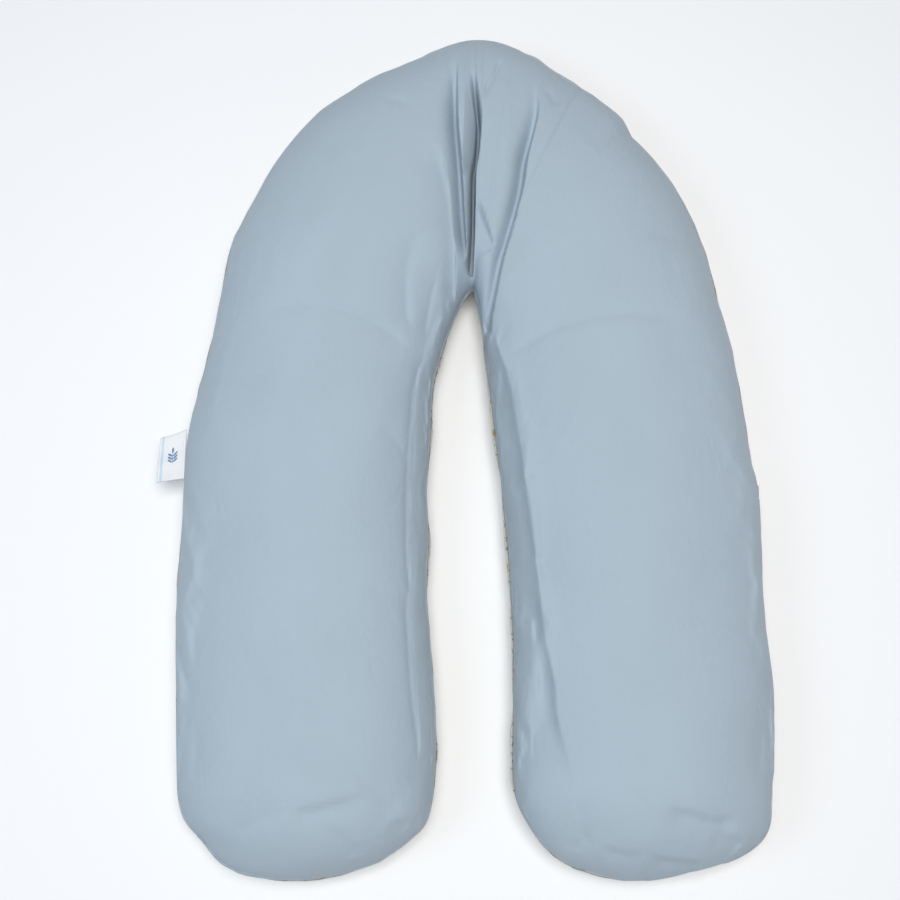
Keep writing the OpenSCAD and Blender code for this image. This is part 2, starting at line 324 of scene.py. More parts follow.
class Folds:
    """Creases and pleats of the upper side, each along a line in plan (millimetres).

    A crease sinks by its depth (below 0: rises) and fades over the widths on its left and right, seen
    along the line. A pleat's line is its crisp upper edge: on the line's left the cloth falls over the
    step and comes back up over the return. Lead and tail are the lengths over which both fade out.
    """

    CREASES = (
        # line, depth, left width, right width, lead, tail
        (((-60, 112), (-64, 163), (-58, 208), (-43, 241)), 4.5, 14, 4, 20, 40),
        (((-43, 105), (-35, 150), (-23, 202)), 3.5, 9, 3, 20, 40),
        (((53, 482), (46, 457), (36, 437), (35, 419)), 3.5, 4, 1.5, 12, 12),
        (((111, 440), (125, 408)), 2.2, 6, 3, 10, 10),
        (((-100, 422), (-74, 415), (-51, 407)), 2.2, 6, 9, 20, 20),
        # rolls of cloth pushed up between the pleats of the bend
        (((6, 210), (2, 300), (6, 380), (8, 460)), -4, 7, 7, 40, 60),
        (((38, 230), (52, 310), (62, 390), (56, 460)), -4, 20, 18, 50, 60),
        # the left arm's crease where the crown turns down to the inner seam
        (((-43, 89), (-55, 45), (-58, 9), (-62, -50), (-63, -108), (-62, -170), (-59, -192), (-62, -221),
          (-60, -260), (-57, -306), (-50, -362), (-41, -412)), 2.4, 3.5, 2.5, 20, 40),
        (((-62, -50), (-80, -20), (-100, -14)), 1.8, 8, 8, 10, 20),
        (((-60, -200), (-84, -206), (-112, -200)), 1.8, 8, 8, 10, 20),
        # shallow creases across the arms
        (((-252, 128), (-205, 141), (-144, 135), (-96, 116), (-52, 84)), 3.6, 6, 15, 60, 35),
        (((52, 78), (122, 112), (195, 126), (285, 121)), 3.2, 15, 6, 35, 70),
        (((-318, 60), (-250, 52), (-190, 66)), 1.6, 9, 14, 25, 60),
        (((338, 60), (290, 76), (230, 70)), 1.6, 10, 14, 25, 60),
        (((-332, -120), (-280, -140), (-215, -136)), 1.8, 9, 12, 20, 60),
        (((366, -190), (320, -178), (262, -186)), 1.8, 9, 12, 20, 60),
        (((-300, 210), (-262, 236), (-220, 244)), 2.2, 9, 12, 20, 50),
        (((312, 236), (262, 230), (214, 250)), 2.4, 9, 12, 20, 50),
        (((-210, 396), (-176, 360), (-130, 340)), 2.2, 9, 13, 20, 60),
        (((222, 398), (186, 364), (150, 352)), 2.6, 8, 13, 15, 50),
        (((101, -202), (104, -249), (107, -306)), -1.6, 5, 6, 20, 30),
        (((66, -332), (74, -368), (89, -398)), 3.0, 7, 12, 20, 30),
        # broad hollows towards the arms' ends
        (((-184, -317), (-137, -379), (-96, -429), (-63, -456)), 3.0, 26, 20, 70, 20),
        (((-309, -434), (-302, -385), (-306, -329)), 5.0, 8, 18, 30, 60),
        (((-118, -505), (-129, -485), (-147, -462)), 4.0, 8, 8, 8, 25),
        (((-265, -478), (-230, -464), (-190, -441)), 2.6, 12, 8, 25, 30),
        (((130, -432), (136, -462), (140, -492)), 2.4, 8, 5, 20, 15),
        (((118, -496), (139, -486), (153, -481)), 3.0, 7, 5, 10, 12),
        (((350, -330), (346, -390), (338, -430)), 4.0, 8, 14, 50, 30),
        (((180, -400), (200, -440), (205, -480)), 2.0, 14, 14, 40, 20),
    )
    PLEATS = (
        # line, depth, step, return, lead, tail
        (((17, 190), (19, 234), (20, 278), (21, 327), (24, 344), (27, 381), (27, 399), (23, 436), (20, 466)),
         48, 1.3, 2.6, 18, 60),
        (((20, 300), (22, 327), (25, 344), (28, 381), (28, 399), (24, 436), (20, 466)), 22, 2.0, 9.0, 30, 90),
        (((11, 199), (10, 220), (6, 272), (3, 334), (-1, 385), (-2, 425), (-2, 464), (-1, 489)),
         27, 1.6, 7.5, 45, 100),
        (((40, 112), (40, 133), (46, 165), (55, 207), (68, 252), (79, 294), (85, 334), (95, 374), (100, 402),
          (100, 428), (95, 457)), 24, 2.4, 7.5, 16, 130),
        (((-6, 152), (-4, 202), (-4, 252), (-10, 295), (-19, 334), (-22, 365)), 7, 3.0, 14.0, 20, 50),
        (((49, 212), (35, 250), (24, 280)), 9, 2.0, 12.0, 10, 14),
        # the right arm's crisp edge above its inner seam
        (((130, -432), (121, -393), (111, -353), (107, -306), (100, -272), (95, -236), (93, -214), (87, -151),
          (77, -72), (75, -50), (67, 1), (59, 52), (50, 83), (40, 115)), 13, 9.0, 40.0, 120, 30),
        # pulls of the cloth at the arms' ends
        (((-102, -430), (-130, -437), (-156, -443), (-187, -449)), 4.5, 5.0, 16.0, 30, 12),
        (((-37, -462), (-65, -462), (-90, -470)), 4.5, 5.0, 14.0, 12, 20),
        (((315, -457), (282, -457), (256, -450), (223, -443)), 5.0, 5.0, 16.0, 20, 30),
        (((324, -491), (314, -482), (293, -473), (277, -468)), 5.0, 5.0, 12.0, 10, 15),
        (((275, -509), (258, -506), (229, -502), (208, -497)), 8.0, 4.0, 12.0, 8, 25),
        (((203, -496), (178, -494), (160, -486)), 4.0, 4.0, 12.0, 10, 15),
    )

    def __init__(self):
        self.lines = []
        for deep, table in ((False, self.CREASES), (True, self.PLEATS)):
            for points, *sizes in table:
                p = np.array(points, float) * MM
                fine = through(p, np.linspace(0, len(p) - 1, 10 * len(p)))
                self.lines.append((fine, *(size * MM for size in sizes), deep))

    def depth(self, plan, softness):
        """How far each plan point sinks in creases and in pleats; softness widens every fold."""
        flat = plan.reshape(-1, 2)
        creases, pleats = np.zeros(len(flat)), np.zeros(len(flat))
        for line, depth, first, second, lead, tail, deep in self.lines:
            reach = 7 * max(first, second)
            low, high = line.min(0) - reach, line.max(0) + reach
            close = np.nonzero(((flat > low) & (flat < high)).all(1))[0]
            if len(close) == 0:
                continue
            distance, side, along, total = nearest(flat[close], line)
            fade = smoothstep(along, 0, lead) * smoothstep(total - along, 0, tail)
            if deep:
                sunk = depth * pleat_profile(distance * side, first, second, softness) * fade
                pleats[close] = np.maximum(pleats[close], sunk)
            else:
                width = np.where(side > 0, first, second)
                rounded = np.sqrt(distance**2 + softness**2) - softness
                creases[close] += depth * np.exp(-rounded / width) * fade
        return creases.reshape(plan.shape[:2]), pleats.reshape(plan.shape[:2])


def pleat_profile(across, step, back, softness):
    """Share of a pleat's depth at a distance to the left of its edge, at its widest within softness."""
    best = np.zeros(len(across))
    deepest = step * math.log((step + back) / step)
    peak = (1 - math.exp(-deepest / step)) * math.exp(-deepest / back)
    for moved in np.linspace(-softness, softness, 9):
        d = np.maximum(across + moved, 0)
        best = np.maximum(best, (1 - np.exp(-d / step)) * np.exp(-d / back) / peak)
    return best


def nearest(points, line):
    """Distance, side (above 0: left of the line), place along it and the line's length."""
    best = np.full(len(points), np.inf)
    side = np.zeros(len(points))
    along = np.zeros(len(points))
    run = 0.0
    for a, b in zip(line[:-1], line[1:]):
        d = b - a
        length = float(np.hypot(*d))
        t = np.clip(((points - a) @ d) / length**2, 0, 1)
        off = points - (a + t[:, None] * d)
        dist = np.hypot(off[:, 0], off[:, 1])
        closer = dist < best
        cross = d[0] * off[:, 1] - d[1] * off[:, 0]
        best = np.where(closer, dist, best)
        side = np.where(closer, np.sign(cross), side)
        along = np.where(closer, run + t * length, along)
        run += length
    return best, side, along, run


def column_angles(count, lip=()):
    """Angles of the columns from the outer seam (0) to the inner seam (pi)."""
    extra = np.array(lip)
    return np.unique(np.concatenate([np.linspace(0, math.pi, count), extra, math.pi - extra]))


# A row of the stuffed shape rises as a power of the sine: the lower the power, the fuller its flanks.
UNDER_POWER = 0.85
UPPER_POWER = 0.97
FULLER_INNER_FLANK = {"left": 0.04, "right": 0.18}
# The upper side is stuffed this much higher, because its creases and lumps take some of it away again.
SPARE_CROWN = 0.004
UPPER_LUMPS = ((0.31, 0.4, 0.3), (0.23, 1.9, 1.1), (0.17, 2.7, 4.0))
UNDER_LUMPS = ((0.27, 0.9, 2.3), (0.19, 2.2, 0.4))
FLOOR_GAP = 0.0006
WALL_TURN = 0.012


def stuffed(tube, shape, face, rows, angles, sink=0.0):
    """Points of one face of a soft layer, sink below the cover's own outer face, and its plan data."""
    w = (1 - np.cos(angles)) / 2
    plan, share, bend = tube.plan(rows, w)
    power = np.full((len(rows), len(w)), UNDER_POWER)
    if face == FRONT:
        right = smoothstep(rows - tube.bend_run, -0.05, 0.05)
        fuller = FULLER_INNER_FLANK["left"] + FULLER_INNER_FLANK["right"] * right
        power = UPPER_POWER - fuller[:, None] * smoothstep(w, 0.3, 1.0)[None, :]
    arch = np.abs(np.sin(angles))[None, :] ** power
    arch[:, [0, -1]] = 0
    x, y = plan[:, :, 0], plan[:, :, 1]
    if face == FRONT:
        lumps = 0.003 * ripple(x, y, UPPER_LUMPS)
        height = (shape.crown + SPARE_CROWN - sink) * (1 - shape.fold_drop * bend)[:, None] + lumps
        z = height * share[:, None] * arch
    else:
        lumps = 0.002 * ripple(x, y, UNDER_LUMPS)
        deep = (shape.belly - sink + lumps) * share[:, None] * arch
        floor = shape.seam_z - sink - FLOOR_GAP
        low = np.clip(0.5 + 0.5 * (floor - deep) / WALL_TURN, 0, 1)
        z = -(floor * (1 - low) + deep * low - WALL_TURN * low * (1 - low))
    grid = np.concatenate([plan, (shape.seam_z + z)[:, :, None]], axis=2)
    return grid, plan


def grid_faces(rows, cols, start=0, flip=False):
    """Quads of a grid of points whose first index is start."""
    i, j = np.meshgrid(np.arange(rows - 1), np.arange(cols - 1), indexing="ij")
    a = start + i * cols + j
    quads = np.stack([a, a + 1, a + cols + 1, a + cols], axis=-1).reshape(-1, 4)
    return quads[:, ::-1] if flip else quads


def rim_ring(rows, cols):
    """Indices of a grid's edge points, in order round it."""
    top = np.arange(cols)
    right = np.arange(1, rows) * cols + cols - 1
    bottom = (rows - 1) * cols + np.arange(cols - 2, -1, -1)
    left = np.arange(rows - 2, 0, -1) * cols
    return np.concatenate([top, right, bottom, left])


def joined_grids(rows, cols):
    """Two grids sewn together at their edges.

    Gives the first grid's edge ring, each first-grid point's twin in the second grid, which points of
    both are kept, the kept points' new indices and the quads.
    """
    count = rows * cols
    ring = rim_ring(rows, cols)
    twin = np.arange(count) + count
    twin[ring] = ring
    keep = np.ones(2 * count, bool)
    keep[count + ring] = False
    index = np.cumsum(keep) - 1
    faces = np.concatenate([grid_faces(rows, cols, 0, True), twin[grid_faces(rows, cols)]])
    return ring, twin, keep, index, index[faces]


def mesh_object(name, points, faces, smooth=True):
    """A new object from points and faces (lists of point indices)."""
    mesh = bpy.data.meshes.new(name)
    mesh.from_pydata(np.asarray(points, float).tolist(), [], [list(map(int, f)) for f in faces])
    mesh.validate()
    if smooth:
        mesh.shade_smooth()
    obj = bpy.data.objects.new(name, mesh)
    bpy.context.scene.collection.objects.link(obj)
    return obj


def store_cloth(obj, values, name="cloth"):
    """Keeps the fabric's own coordinates (along, across, distance from the seam) on the points."""
    attribute = obj.data.attributes.new(name, "FLOAT_VECTOR", "POINT")
    attribute.data.foreach_set("vector", np.asarray(values, np.float32).ravel())


def cloth_lengths(grid):
    """Distances measured on the cloth: along the rows' middle, across each row and from the seam."""
    steps = np.linalg.norm(np.diff(grid, axis=1), axis=2)
    across = np.concatenate([np.zeros((len(grid), 1)), np.cumsum(steps, axis=1)], axis=1)
    middle = across[:, -1:] / 2
    forward = np.linalg.norm(np.diff(grid, axis=0), axis=2)
    along = np.concatenate([np.zeros((1, grid.shape[1])), np.cumsum(forward, axis=0)], axis=0)
    mid_col = grid.shape[1] // 2
    along_mid = np.broadcast_to(along[:, mid_col : mid_col + 1], across.shape)
    end = np.minimum(along, along[-1:] - along)
    edge = np.minimum(np.minimum(across, across[:, -1:] - across), end)
    return np.stack([along_mid, across - middle, edge], axis=-1)


def sheet_of_cloth(name, grid, thickness, up):
    """A closed sheet of fabric: the grid is its outer side, and up says which side faces outwards."""
    rows, cols = grid.shape[:2]
    n = grid_normals(grid) * up
    inside = grid - n * thickness
    points = np.concatenate([grid.reshape(-1, 3), inside.reshape(-1, 3)])
    outer = grid_faces(rows, cols, 0, up > 0)
    inner = grid_faces(rows, cols, rows * cols, up < 0)
    ring = rim_ring(rows, cols)
    after = np.roll(ring, -1)
    lift = rows * cols
    rim = np.stack([ring, after, after + lift, ring + lift], axis=-1)
    if up < 0:
        rim = rim[:, ::-1]
    obj = mesh_object(name, points, np.concatenate([outer, inner, rim]))
    lengths = cloth_lengths(grid).reshape(-1, 3)
    store_cloth(obj, np.concatenate([lengths, lengths]))
    return obj


def threads(name, paths, radius, sides=6):
    """One mesh of round threads, each along its own path of points."""
    points, faces = [], []
    turn = np.linspace(0, 2 * math.pi, sides, endpoint=False)
    for path in paths:
        path = np.asarray(path, float)
        ahead = np.gradient(path, axis=0)
        ahead /= np.maximum(np.linalg.norm(ahead, axis=1, keepdims=True), 1e-12)
        guide = np.array([0.0, 0.0, 1.0]) if abs(ahead[0, 2]) < 0.9 else np.array([1.0, 0.0, 0.0])
        side = np.cross(ahead, guide)
        side /= np.maximum(np.linalg.norm(side, axis=1, keepdims=True), 1e-12)
        up = np.cross(side, ahead)
        taper = np.ones(len(path))
        taper[[0, -1]] = 0.55
        ring = (
            side[:, None] * np.cos(turn)[None, :, None] + up[:, None] * np.sin(turn)[None, :, None]
        ) * (radius * taper)[:, None, None]
        first = len(points)
        points.extend((path[:, None] + ring).reshape(-1, 3))
        for i in range(len(path) - 1):
            for k in range(sides):
                a = first + i * sides + k
                b = first + i * sides + (k + 1) % sides
                faces.append((a, b, b + sides, a + sides))
        faces.append(tuple(first + k for k in reversed(range(sides))))
        faces.append(tuple(first + (len(path) - 1) * sides + k for k in range(sides)))
    return mesh_object(name, points, faces)


def rim_line(shape, inset, spacing):
    """The edge seam in plan at an inset, as evenly spaced points with their inward directions."""
    tube = Tube(shape)
    rows = tube.rows(900)
    plan, _, _ = tube.plan(rows, np.array([0.0, 1.0]))
    ends, _, _ = tube.plan(rows[[0, -1]], np.linspace(0, 1, 60))
    line = np.concatenate([plan[:, 0], ends[1, 1:-1], plan[::-1, 1], ends[0, -2:0:-1]])
    steps = np.linalg.norm(np.diff(np.vstack([line, line[:1]]), axis=0), axis=1)
    run = np.concatenate([[0], np.cumsum(steps)])
    count = int(run[-1] / spacing)
    at = np.arange(count) * run[-1] / count
    closed = np.vstack([line, line[:1]])
    even = np.stack([np.interp(at, run, closed[:, k]) for k in (0, 1)], axis=1)
    ahead = np.roll(even, -2, axis=0) - np.roll(even, 2, axis=0)
    ahead /= np.linalg.norm(ahead, axis=1, keepdims=True)
    inward = np.stack([ahead[:, 1], -ahead[:, 0]], axis=1)
    return even + inward * inset, inward


# The seam is held straight up to HELD past the zip and the woven label, and runs free from FREE on.
HELD = 0.02
FREE = 0.06
SEAM_WAVES = ((0.41, 1.4, 0.2), (0.23, 1.8, 1.9), (0.33, 0.3, 3.0))
FLUTTER_WAVES = ((0.031, 0.4, 1.0), (0.047, 2.0, 0.3))
FLUTTER = 0.0012
SEAM_ALLOWANCE = 0.007
SLIT_SPARE = 0.008


def loose(x, y):
    """0 beside the zip and the woven label, where the seam is held straight, and 1 elsewhere."""
    free = np.ones(np.broadcast(x, y).shape)
    for node_name, side in (("zip_coil_front", 1), ("woven_label", -1)):
        low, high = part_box(node_name)
        along = smoothstep(y, low.y - FREE, low.y - HELD) * (1 - smoothstep(y, high.y + HELD, high.y + FREE))
        free = free * (1 - along * smoothstep(side * x, 0.24, 0.30))
    return free


def wander(x, y):
    """How far the edge seam rises or falls at a plan point."""
    return 0.004 * ripple(x, y, SEAM_WAVES) * loose(x, y)


def in_slit(plan, spare=0.0):
    """Whether plan points lie along the zip, on the right arm's outer seam."""
    low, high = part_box("zip_coil_front")
    return (plan[:, 0] > 0.3) & (plan[:, 1] > low.y - spare) & (plan[:, 1] < high.y + spare)


def seam_band(name, shape, inset, thickness, skip_slit=False):
    """The turned-in edges behind a seam: two fabric edges pressed together, as a closed band."""
    line, inward = rim_line(shape, inset, 0.006)
    if skip_slit:
        beside = in_slit(line, SLIT_SPARE)
        first = int(np.argmax(beside))
        keep = ~np.roll(beside, -first)
        line, inward = np.roll(line, -first, axis=0)[keep], np.roll(inward, -first, axis=0)[keep]
    else:
        line = np.vstack([line, line[:1]])
        inward = np.vstack([inward, inward[:1]])
    w = np.linspace(0, SEAM_ALLOWANCE, 7)
    plan = line[:, None] + inward[:, None] * w[None, :, None]
    flutter = FLUTTER * ripple(plan[:, :, 0], plan[:, :, 1], FLUTTER_WAVES)
    flutter = flutter * (w / SEAM_ALLOWANCE)[None, :] ** 2
    z = shape.seam_z + wander(plan[:, :, 0], plan[:, :, 1]) + flutter
    grid = np.concatenate([plan, (z + thickness / 2)[:, :, None]], axis=2)
    return sheet_of_cloth(name, grid, thickness, BACK)


def eased_copy(name, node_name, width):
    """A copy of a CAD piece with its sharp edges rounded off."""
    mesh = bpy.data.meshes.new(name)
    bm = bmesh.new()
    bm.from_mesh(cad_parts[node_name].data)
    bmesh.ops.remove_doubles(bm, verts=bm.verts, dist=1e-6)
    bmesh.ops.dissolve_limit(
        bm, angle_limit=math.radians(1), verts=bm.verts, edges=bm.edges, delimit={"NORMAL"}
    )
    sharp = [e for e in bm.edges if len(e.link_faces) == 2 and e.calc_face_angle(0) > math.radians(35)]
    bmesh.ops.bevel(bm, geom=sharp, offset=width, segments=3, profile=0.6, affect="EDGES",
                    clamp_overlap=True)
    bm.normal_update()
    bm.to_mesh(mesh)
    bm.free()
    mesh.shade_smooth()
    obj = bpy.data.objects.new(name, mesh)
    bpy.context.scene.collection.objects.link(obj)
    modifier = obj.modifiers.new("Weighted normals", "WEIGHTED_NORMAL")
    modifier.keep_sharp = False
    return obj


# Cloth simulation

# How firmly the simulation holds the cloth in place, and the height below which it lies on the floor.
HOLD = {"seam": 1.0, "floor": 0.6, "free": 0.02}
ON_FLOOR = 0.004


def settle(front, back, cloth):
    """Inflates the coarse cover a little as real cloth and gives how far each of its points moved."""
    rows, cols = front.shape[:2]
    ring, twin, keep, index, faces = joined_grids(rows, cols)
    points = np.concatenate([front.reshape(-1, 3), back.reshape(-1, 3)])[keep]
    obj = mesh_object("cloth_trial", points, faces)
    rest = np.setdiff1d(np.arange(len(points)), index[ring])
    on_floor = rest[points[rest, 2] < ON_FLOOR]
    free = np.setdiff1d(rest, on_floor)
    pins = obj.vertex_groups.new(name="pins")
    for where, members in (("seam", index[ring]), ("floor", on_floor), ("free", free)):
        pins.add(members.tolist(), HOLD[where], "REPLACE")
    modifier = obj.modifiers.new("Cloth", "CLOTH")
    s = modifier.settings
    s.quality = 4
    s.mass = 0.15
    s.tension_stiffness = s.compression_stiffness = 20
    s.shear_stiffness = 8
    s.bending_stiffness = 0.08
    s.air_damping = 2
    s.vertex_group_mass = "pins"
    s.pin_stiffness = 0.6
    s.shrink_min = -cloth.spare
    s.use_pressure = True
    s.uniform_pressure_force = cloth.pressure
    s.effector_weights.gravity = 0
    modifier.collision_settings.use_collision = False
    modifier.point_cache.frame_start = 1
    modifier.point_cache.frame_end = cloth.frames
    scene = bpy.context.scene
    for frame_number in range(1, cloth.frames + 1):
        scene.frame_set(frame_number)
    bpy.context.view_layer.objects.active = obj
    bpy.ops.object.select_all(action="DESELECT")
    obj.select_set(True)
    bpy.ops.object.modifier_apply(modifier="Cloth")
    moved = np.zeros(len(points) * 3, np.float32)
    obj.data.vertices.foreach_get("co", moved)
    scene.frame_set(1)
    shift = moved.reshape(-1, 3) - points
    far = np.linalg.norm(shift, axis=1, keepdims=True)
    shift *= np.tanh(far / cloth.travel) * cloth.travel / np.maximum(far, 1e-9)
    shift[:, :2] *= cloth.sideways
    mesh = obj.data
    bpy.data.objects.remove(obj)
    bpy.data.meshes.remove(mesh)
    front_shift = shift[index[np.arange(rows * cols)]].reshape(rows, cols, 3)
    back_shift = shift[index[twin]].reshape(rows, cols, 3)
    return front_shift, back_shift


def carry(shift, rows, angles, fine_rows, fine_angles):
    """A coarse grid's shift at the rows and columns of a finer grid, by smooth interpolation."""
    place = np.interp(fine_rows, rows, np.arange(len(rows)))
    flat = through(shift.reshape(len(rows), -1), place).reshape(len(fine_rows), len(angles), 3)
    turned = flat.transpose(1, 0, 2).reshape(len(angles), -1)
    place = np.interp(fine_angles, angles, np.arange(len(angles)))
    out = through(turned, place).reshape(len(fine_angles), len(fine_rows), 3)
    return out.transpose(1, 0, 2)


# Materials


def material(name, tree_maker, **shader_values):
    """A material whose Principled shader has these plain values, and whose nodes tree_maker adds."""
    mat = bpy.data.materials.get(name)
    if mat is not None:
        return mat
    mat = bpy.data.materials.new(name)
    mat.use_nodes = True
    nodes, links = mat.node_tree.nodes, mat.node_tree.links
    shader = next(n for n in nodes if n.type == "BSDF_PRINCIPLED")
    for socket, value in shader_values.items():
        shader.inputs[socket.replace("_", " ")].default_value = value
    tree_maker(nodes, links, shader)
    return mat


def node(nodes, kind, inputs=None, **settings):
    """A new node of a kind with settings, and plain values or links for its inputs."""
    made = nodes.new(kind)
    for key, value in settings.items():
        setattr(made, key, value)
    for key, value in (inputs or {}).items():
        if isinstance(value, bpy.types.NodeSocket):
            nodes.id_data.links.new(value, made.inputs[key])
        else:
            made.inputs[key].default_value = value
    return made


def group_tree(name, inputs, outputs):
    """A new shader node group with named sockets, and its input and output nodes."""
    tree = bpy.data.node_groups.new(name, "ShaderNodeTree")
    kinds = {"value": "NodeSocketFloat", "vector": "NodeSocketVector"}
    for socket, kind, default in inputs:
        made = tree.interface.new_socket(socket, in_out="INPUT", socket_type=kinds[kind])
        if default is not None:
            made.default_value = default
    for socket, kind in outputs:
        tree.interface.new_socket(socket, in_out="OUTPUT", socket_type=kinds[kind])
    return tree, tree.nodes.new("NodeGroupInput"), tree.nodes.new("NodeGroupOutput")


def maths(nodes, operation, a, b=None, c=None, clamp=False):
    """The result of a maths node on sockets or numbers."""
    values = {i: v for i, v in enumerate((a, b, c)) if v is not None}
    return node(nodes, "ShaderNodeMath", values, operation=operation, use_clamp=clamp).outputs[0]


def weave_group():
    """Plain weave: over and under threads, uneven yarn and faint slubs."""
    tree = bpy.data.node_groups.get("plain_weave")
    if tree is not None:
        return tree
    tree, inside, outside = group_tree(
        "plain_weave",
        (("Cloth", "vector", None), ("Thread pitch", "value", 0.0005), ("Slub", "value", 0.5)),
        (("Thread height", "value"), ("Shade", "value"), ("Nap", "value")),
    )
    n = tree.nodes
    cloth = inside.outputs["Cloth"]
    split = node(n, "ShaderNodeSeparateXYZ", {0: cloth})
    wobble = node(n, "ShaderNodeTexNoise", {"Vector": cloth, "Scale": 160.0, "Detail": 2.0})
    bent = maths(n, "MULTIPLY", maths(n, "SUBTRACT", wobble.outputs["Fac"], 0.5), 0.0006)
    waves = []
    for axis in ("X", "Y"):
        phase = maths(n, "DIVIDE", maths(n, "ADD", split.outputs[axis], bent), inside.outputs["Thread pitch"])
        waves.append(maths(n, "SINE", maths(n, "MULTIPLY", phase, math.pi)))
    crossing = maths(n, "MULTIPLY", waves[0], waves[1])
    height = maths(n, "MULTIPLY_ADD", crossing, 0.5, 0.5)
    stretched = []
    for scale in ((40.0, 900.0, 1.0), (900.0, 40.0, 1.0)):
        place = node(n, "ShaderNodeVectorMath", {0: cloth, 1: scale}, operation="MULTIPLY")
        yarn = node(n, "ShaderNodeTexNoise", {"Vector": place.outputs[0], "Scale": 1.0, "Detail": 1.0})
        stretched.append(yarn.outputs["Fac"])
    slub = maths(n, "MULTIPLY", maths(n, "ADD", stretched[0], stretched[1]), 0.5)
    slub = maths(n, "MULTIPLY", maths(n, "SUBTRACT", slub, 0.5), inside.outputs["Slub"])
    tree.links.new(maths(n, "ADD", height, slub), outside.inputs["Thread height"])
    cloudy = node(n, "ShaderNodeTexNoise", {"Vector": cloth, "Scale": 9.0, "Detail": 4.0})
    shade = maths(n, "MULTIPLY_ADD", maths(n, "SUBTRACT", cloudy.outputs["Fac"], 0.5), 0.10, 1.0)
    shade = maths(n, "MULTIPLY_ADD", slub, 0.14, shade)
    tree.links.new(maths(n, "MULTIPLY_ADD", crossing, 0.03, shade), outside.inputs["Shade"])
    fuzz = node(n, "ShaderNodeTexNoise", {"Vector": cloth, "Scale": 420.0, "Detail": 3.0})
    tree.links.new(fuzz.outputs["Fac"], outside.inputs["Nap"])
    return tree


def crumple_group():
    """Fine ironed-out creases, the pulled cloth beside a seam, and a painted band at the seam: a painted
    highlight where its factor is above 1, painted shade where it is below 1.
    """
    tree = bpy.data.node_groups.get("crumple")
    if tree is not None:
        return tree
    tree, inside, outside = group_tree(
        "crumple",
        (("Cloth", "vector", None), ("Seam pull", "value", 1.0), ("Painted seam light and shade", "value", 1.0)),
        (("Crumple height", "value"), ("Painted seam shading", "value")),
    )
    n = tree.nodes
    cloth = inside.outputs["Cloth"]
    split = node(n, "ShaderNodeSeparateXYZ", {0: cloth})
    drift = node(n, "ShaderNodeTexNoise", {"Vector": cloth, "Scale": 7.0, "Detail": 2.0})
    creases = node(
        n, "ShaderNodeTexNoise",
        {"Vector": cloth, "Scale": 15.0, "Detail": 7.0, "Roughness": 0.62, "Distortion": 0.8},
    )
    ridge = maths(n, "ABSOLUTE", maths(n, "SUBTRACT", creases.outputs["Fac"], 0.5))
    ridge = maths(n, "MULTIPLY", ridge, drift.outputs["Fac"])
    near = node(
        n, "ShaderNodeMapRange",
        {"Value": split.outputs["Z"], "From Min": 0.0, "From Max": 0.022, "To Min": 1.0, "To Max": 0.0},
        interpolation_type="SMOOTHERSTEP",
    )
    drawn = node(n, "ShaderNodeVectorMath", {0: cloth, 1: (150.0, 150.0, 4.0)}, operation="MULTIPLY")
    pulls = node(n, "ShaderNodeTexNoise", {"Vector": drawn.outputs[0], "Scale": 1.0, "Detail": 1.0})
    pulled = maths(n, "MULTIPLY", near.outputs[0], pulls.outputs["Fac"])
    pulled = maths(n, "MULTIPLY", pulled, inside.outputs["Seam pull"])
    tree.links.new(maths(n, "MULTIPLY_ADD", pulled, 0.5, ridge), outside.inputs["Crumple height"])
    # Painted seam light and shade: right at the seam the colour is scaled by the factor, fading out by 3.4 mm
    # from it.
    edge = node(
        n, "ShaderNodeMapRange",
        {"Value": split.outputs["Z"], "From Min": 0.0012, "From Max": 0.0034,
         "To Min": inside.outputs["Painted seam light and shade"], "To Max": 1.0},
        interpolation_type="SMOOTHSTEP",
    )
    tree.links.new(edge.outputs[0], outside.inputs["Painted seam shading"])
    return tree


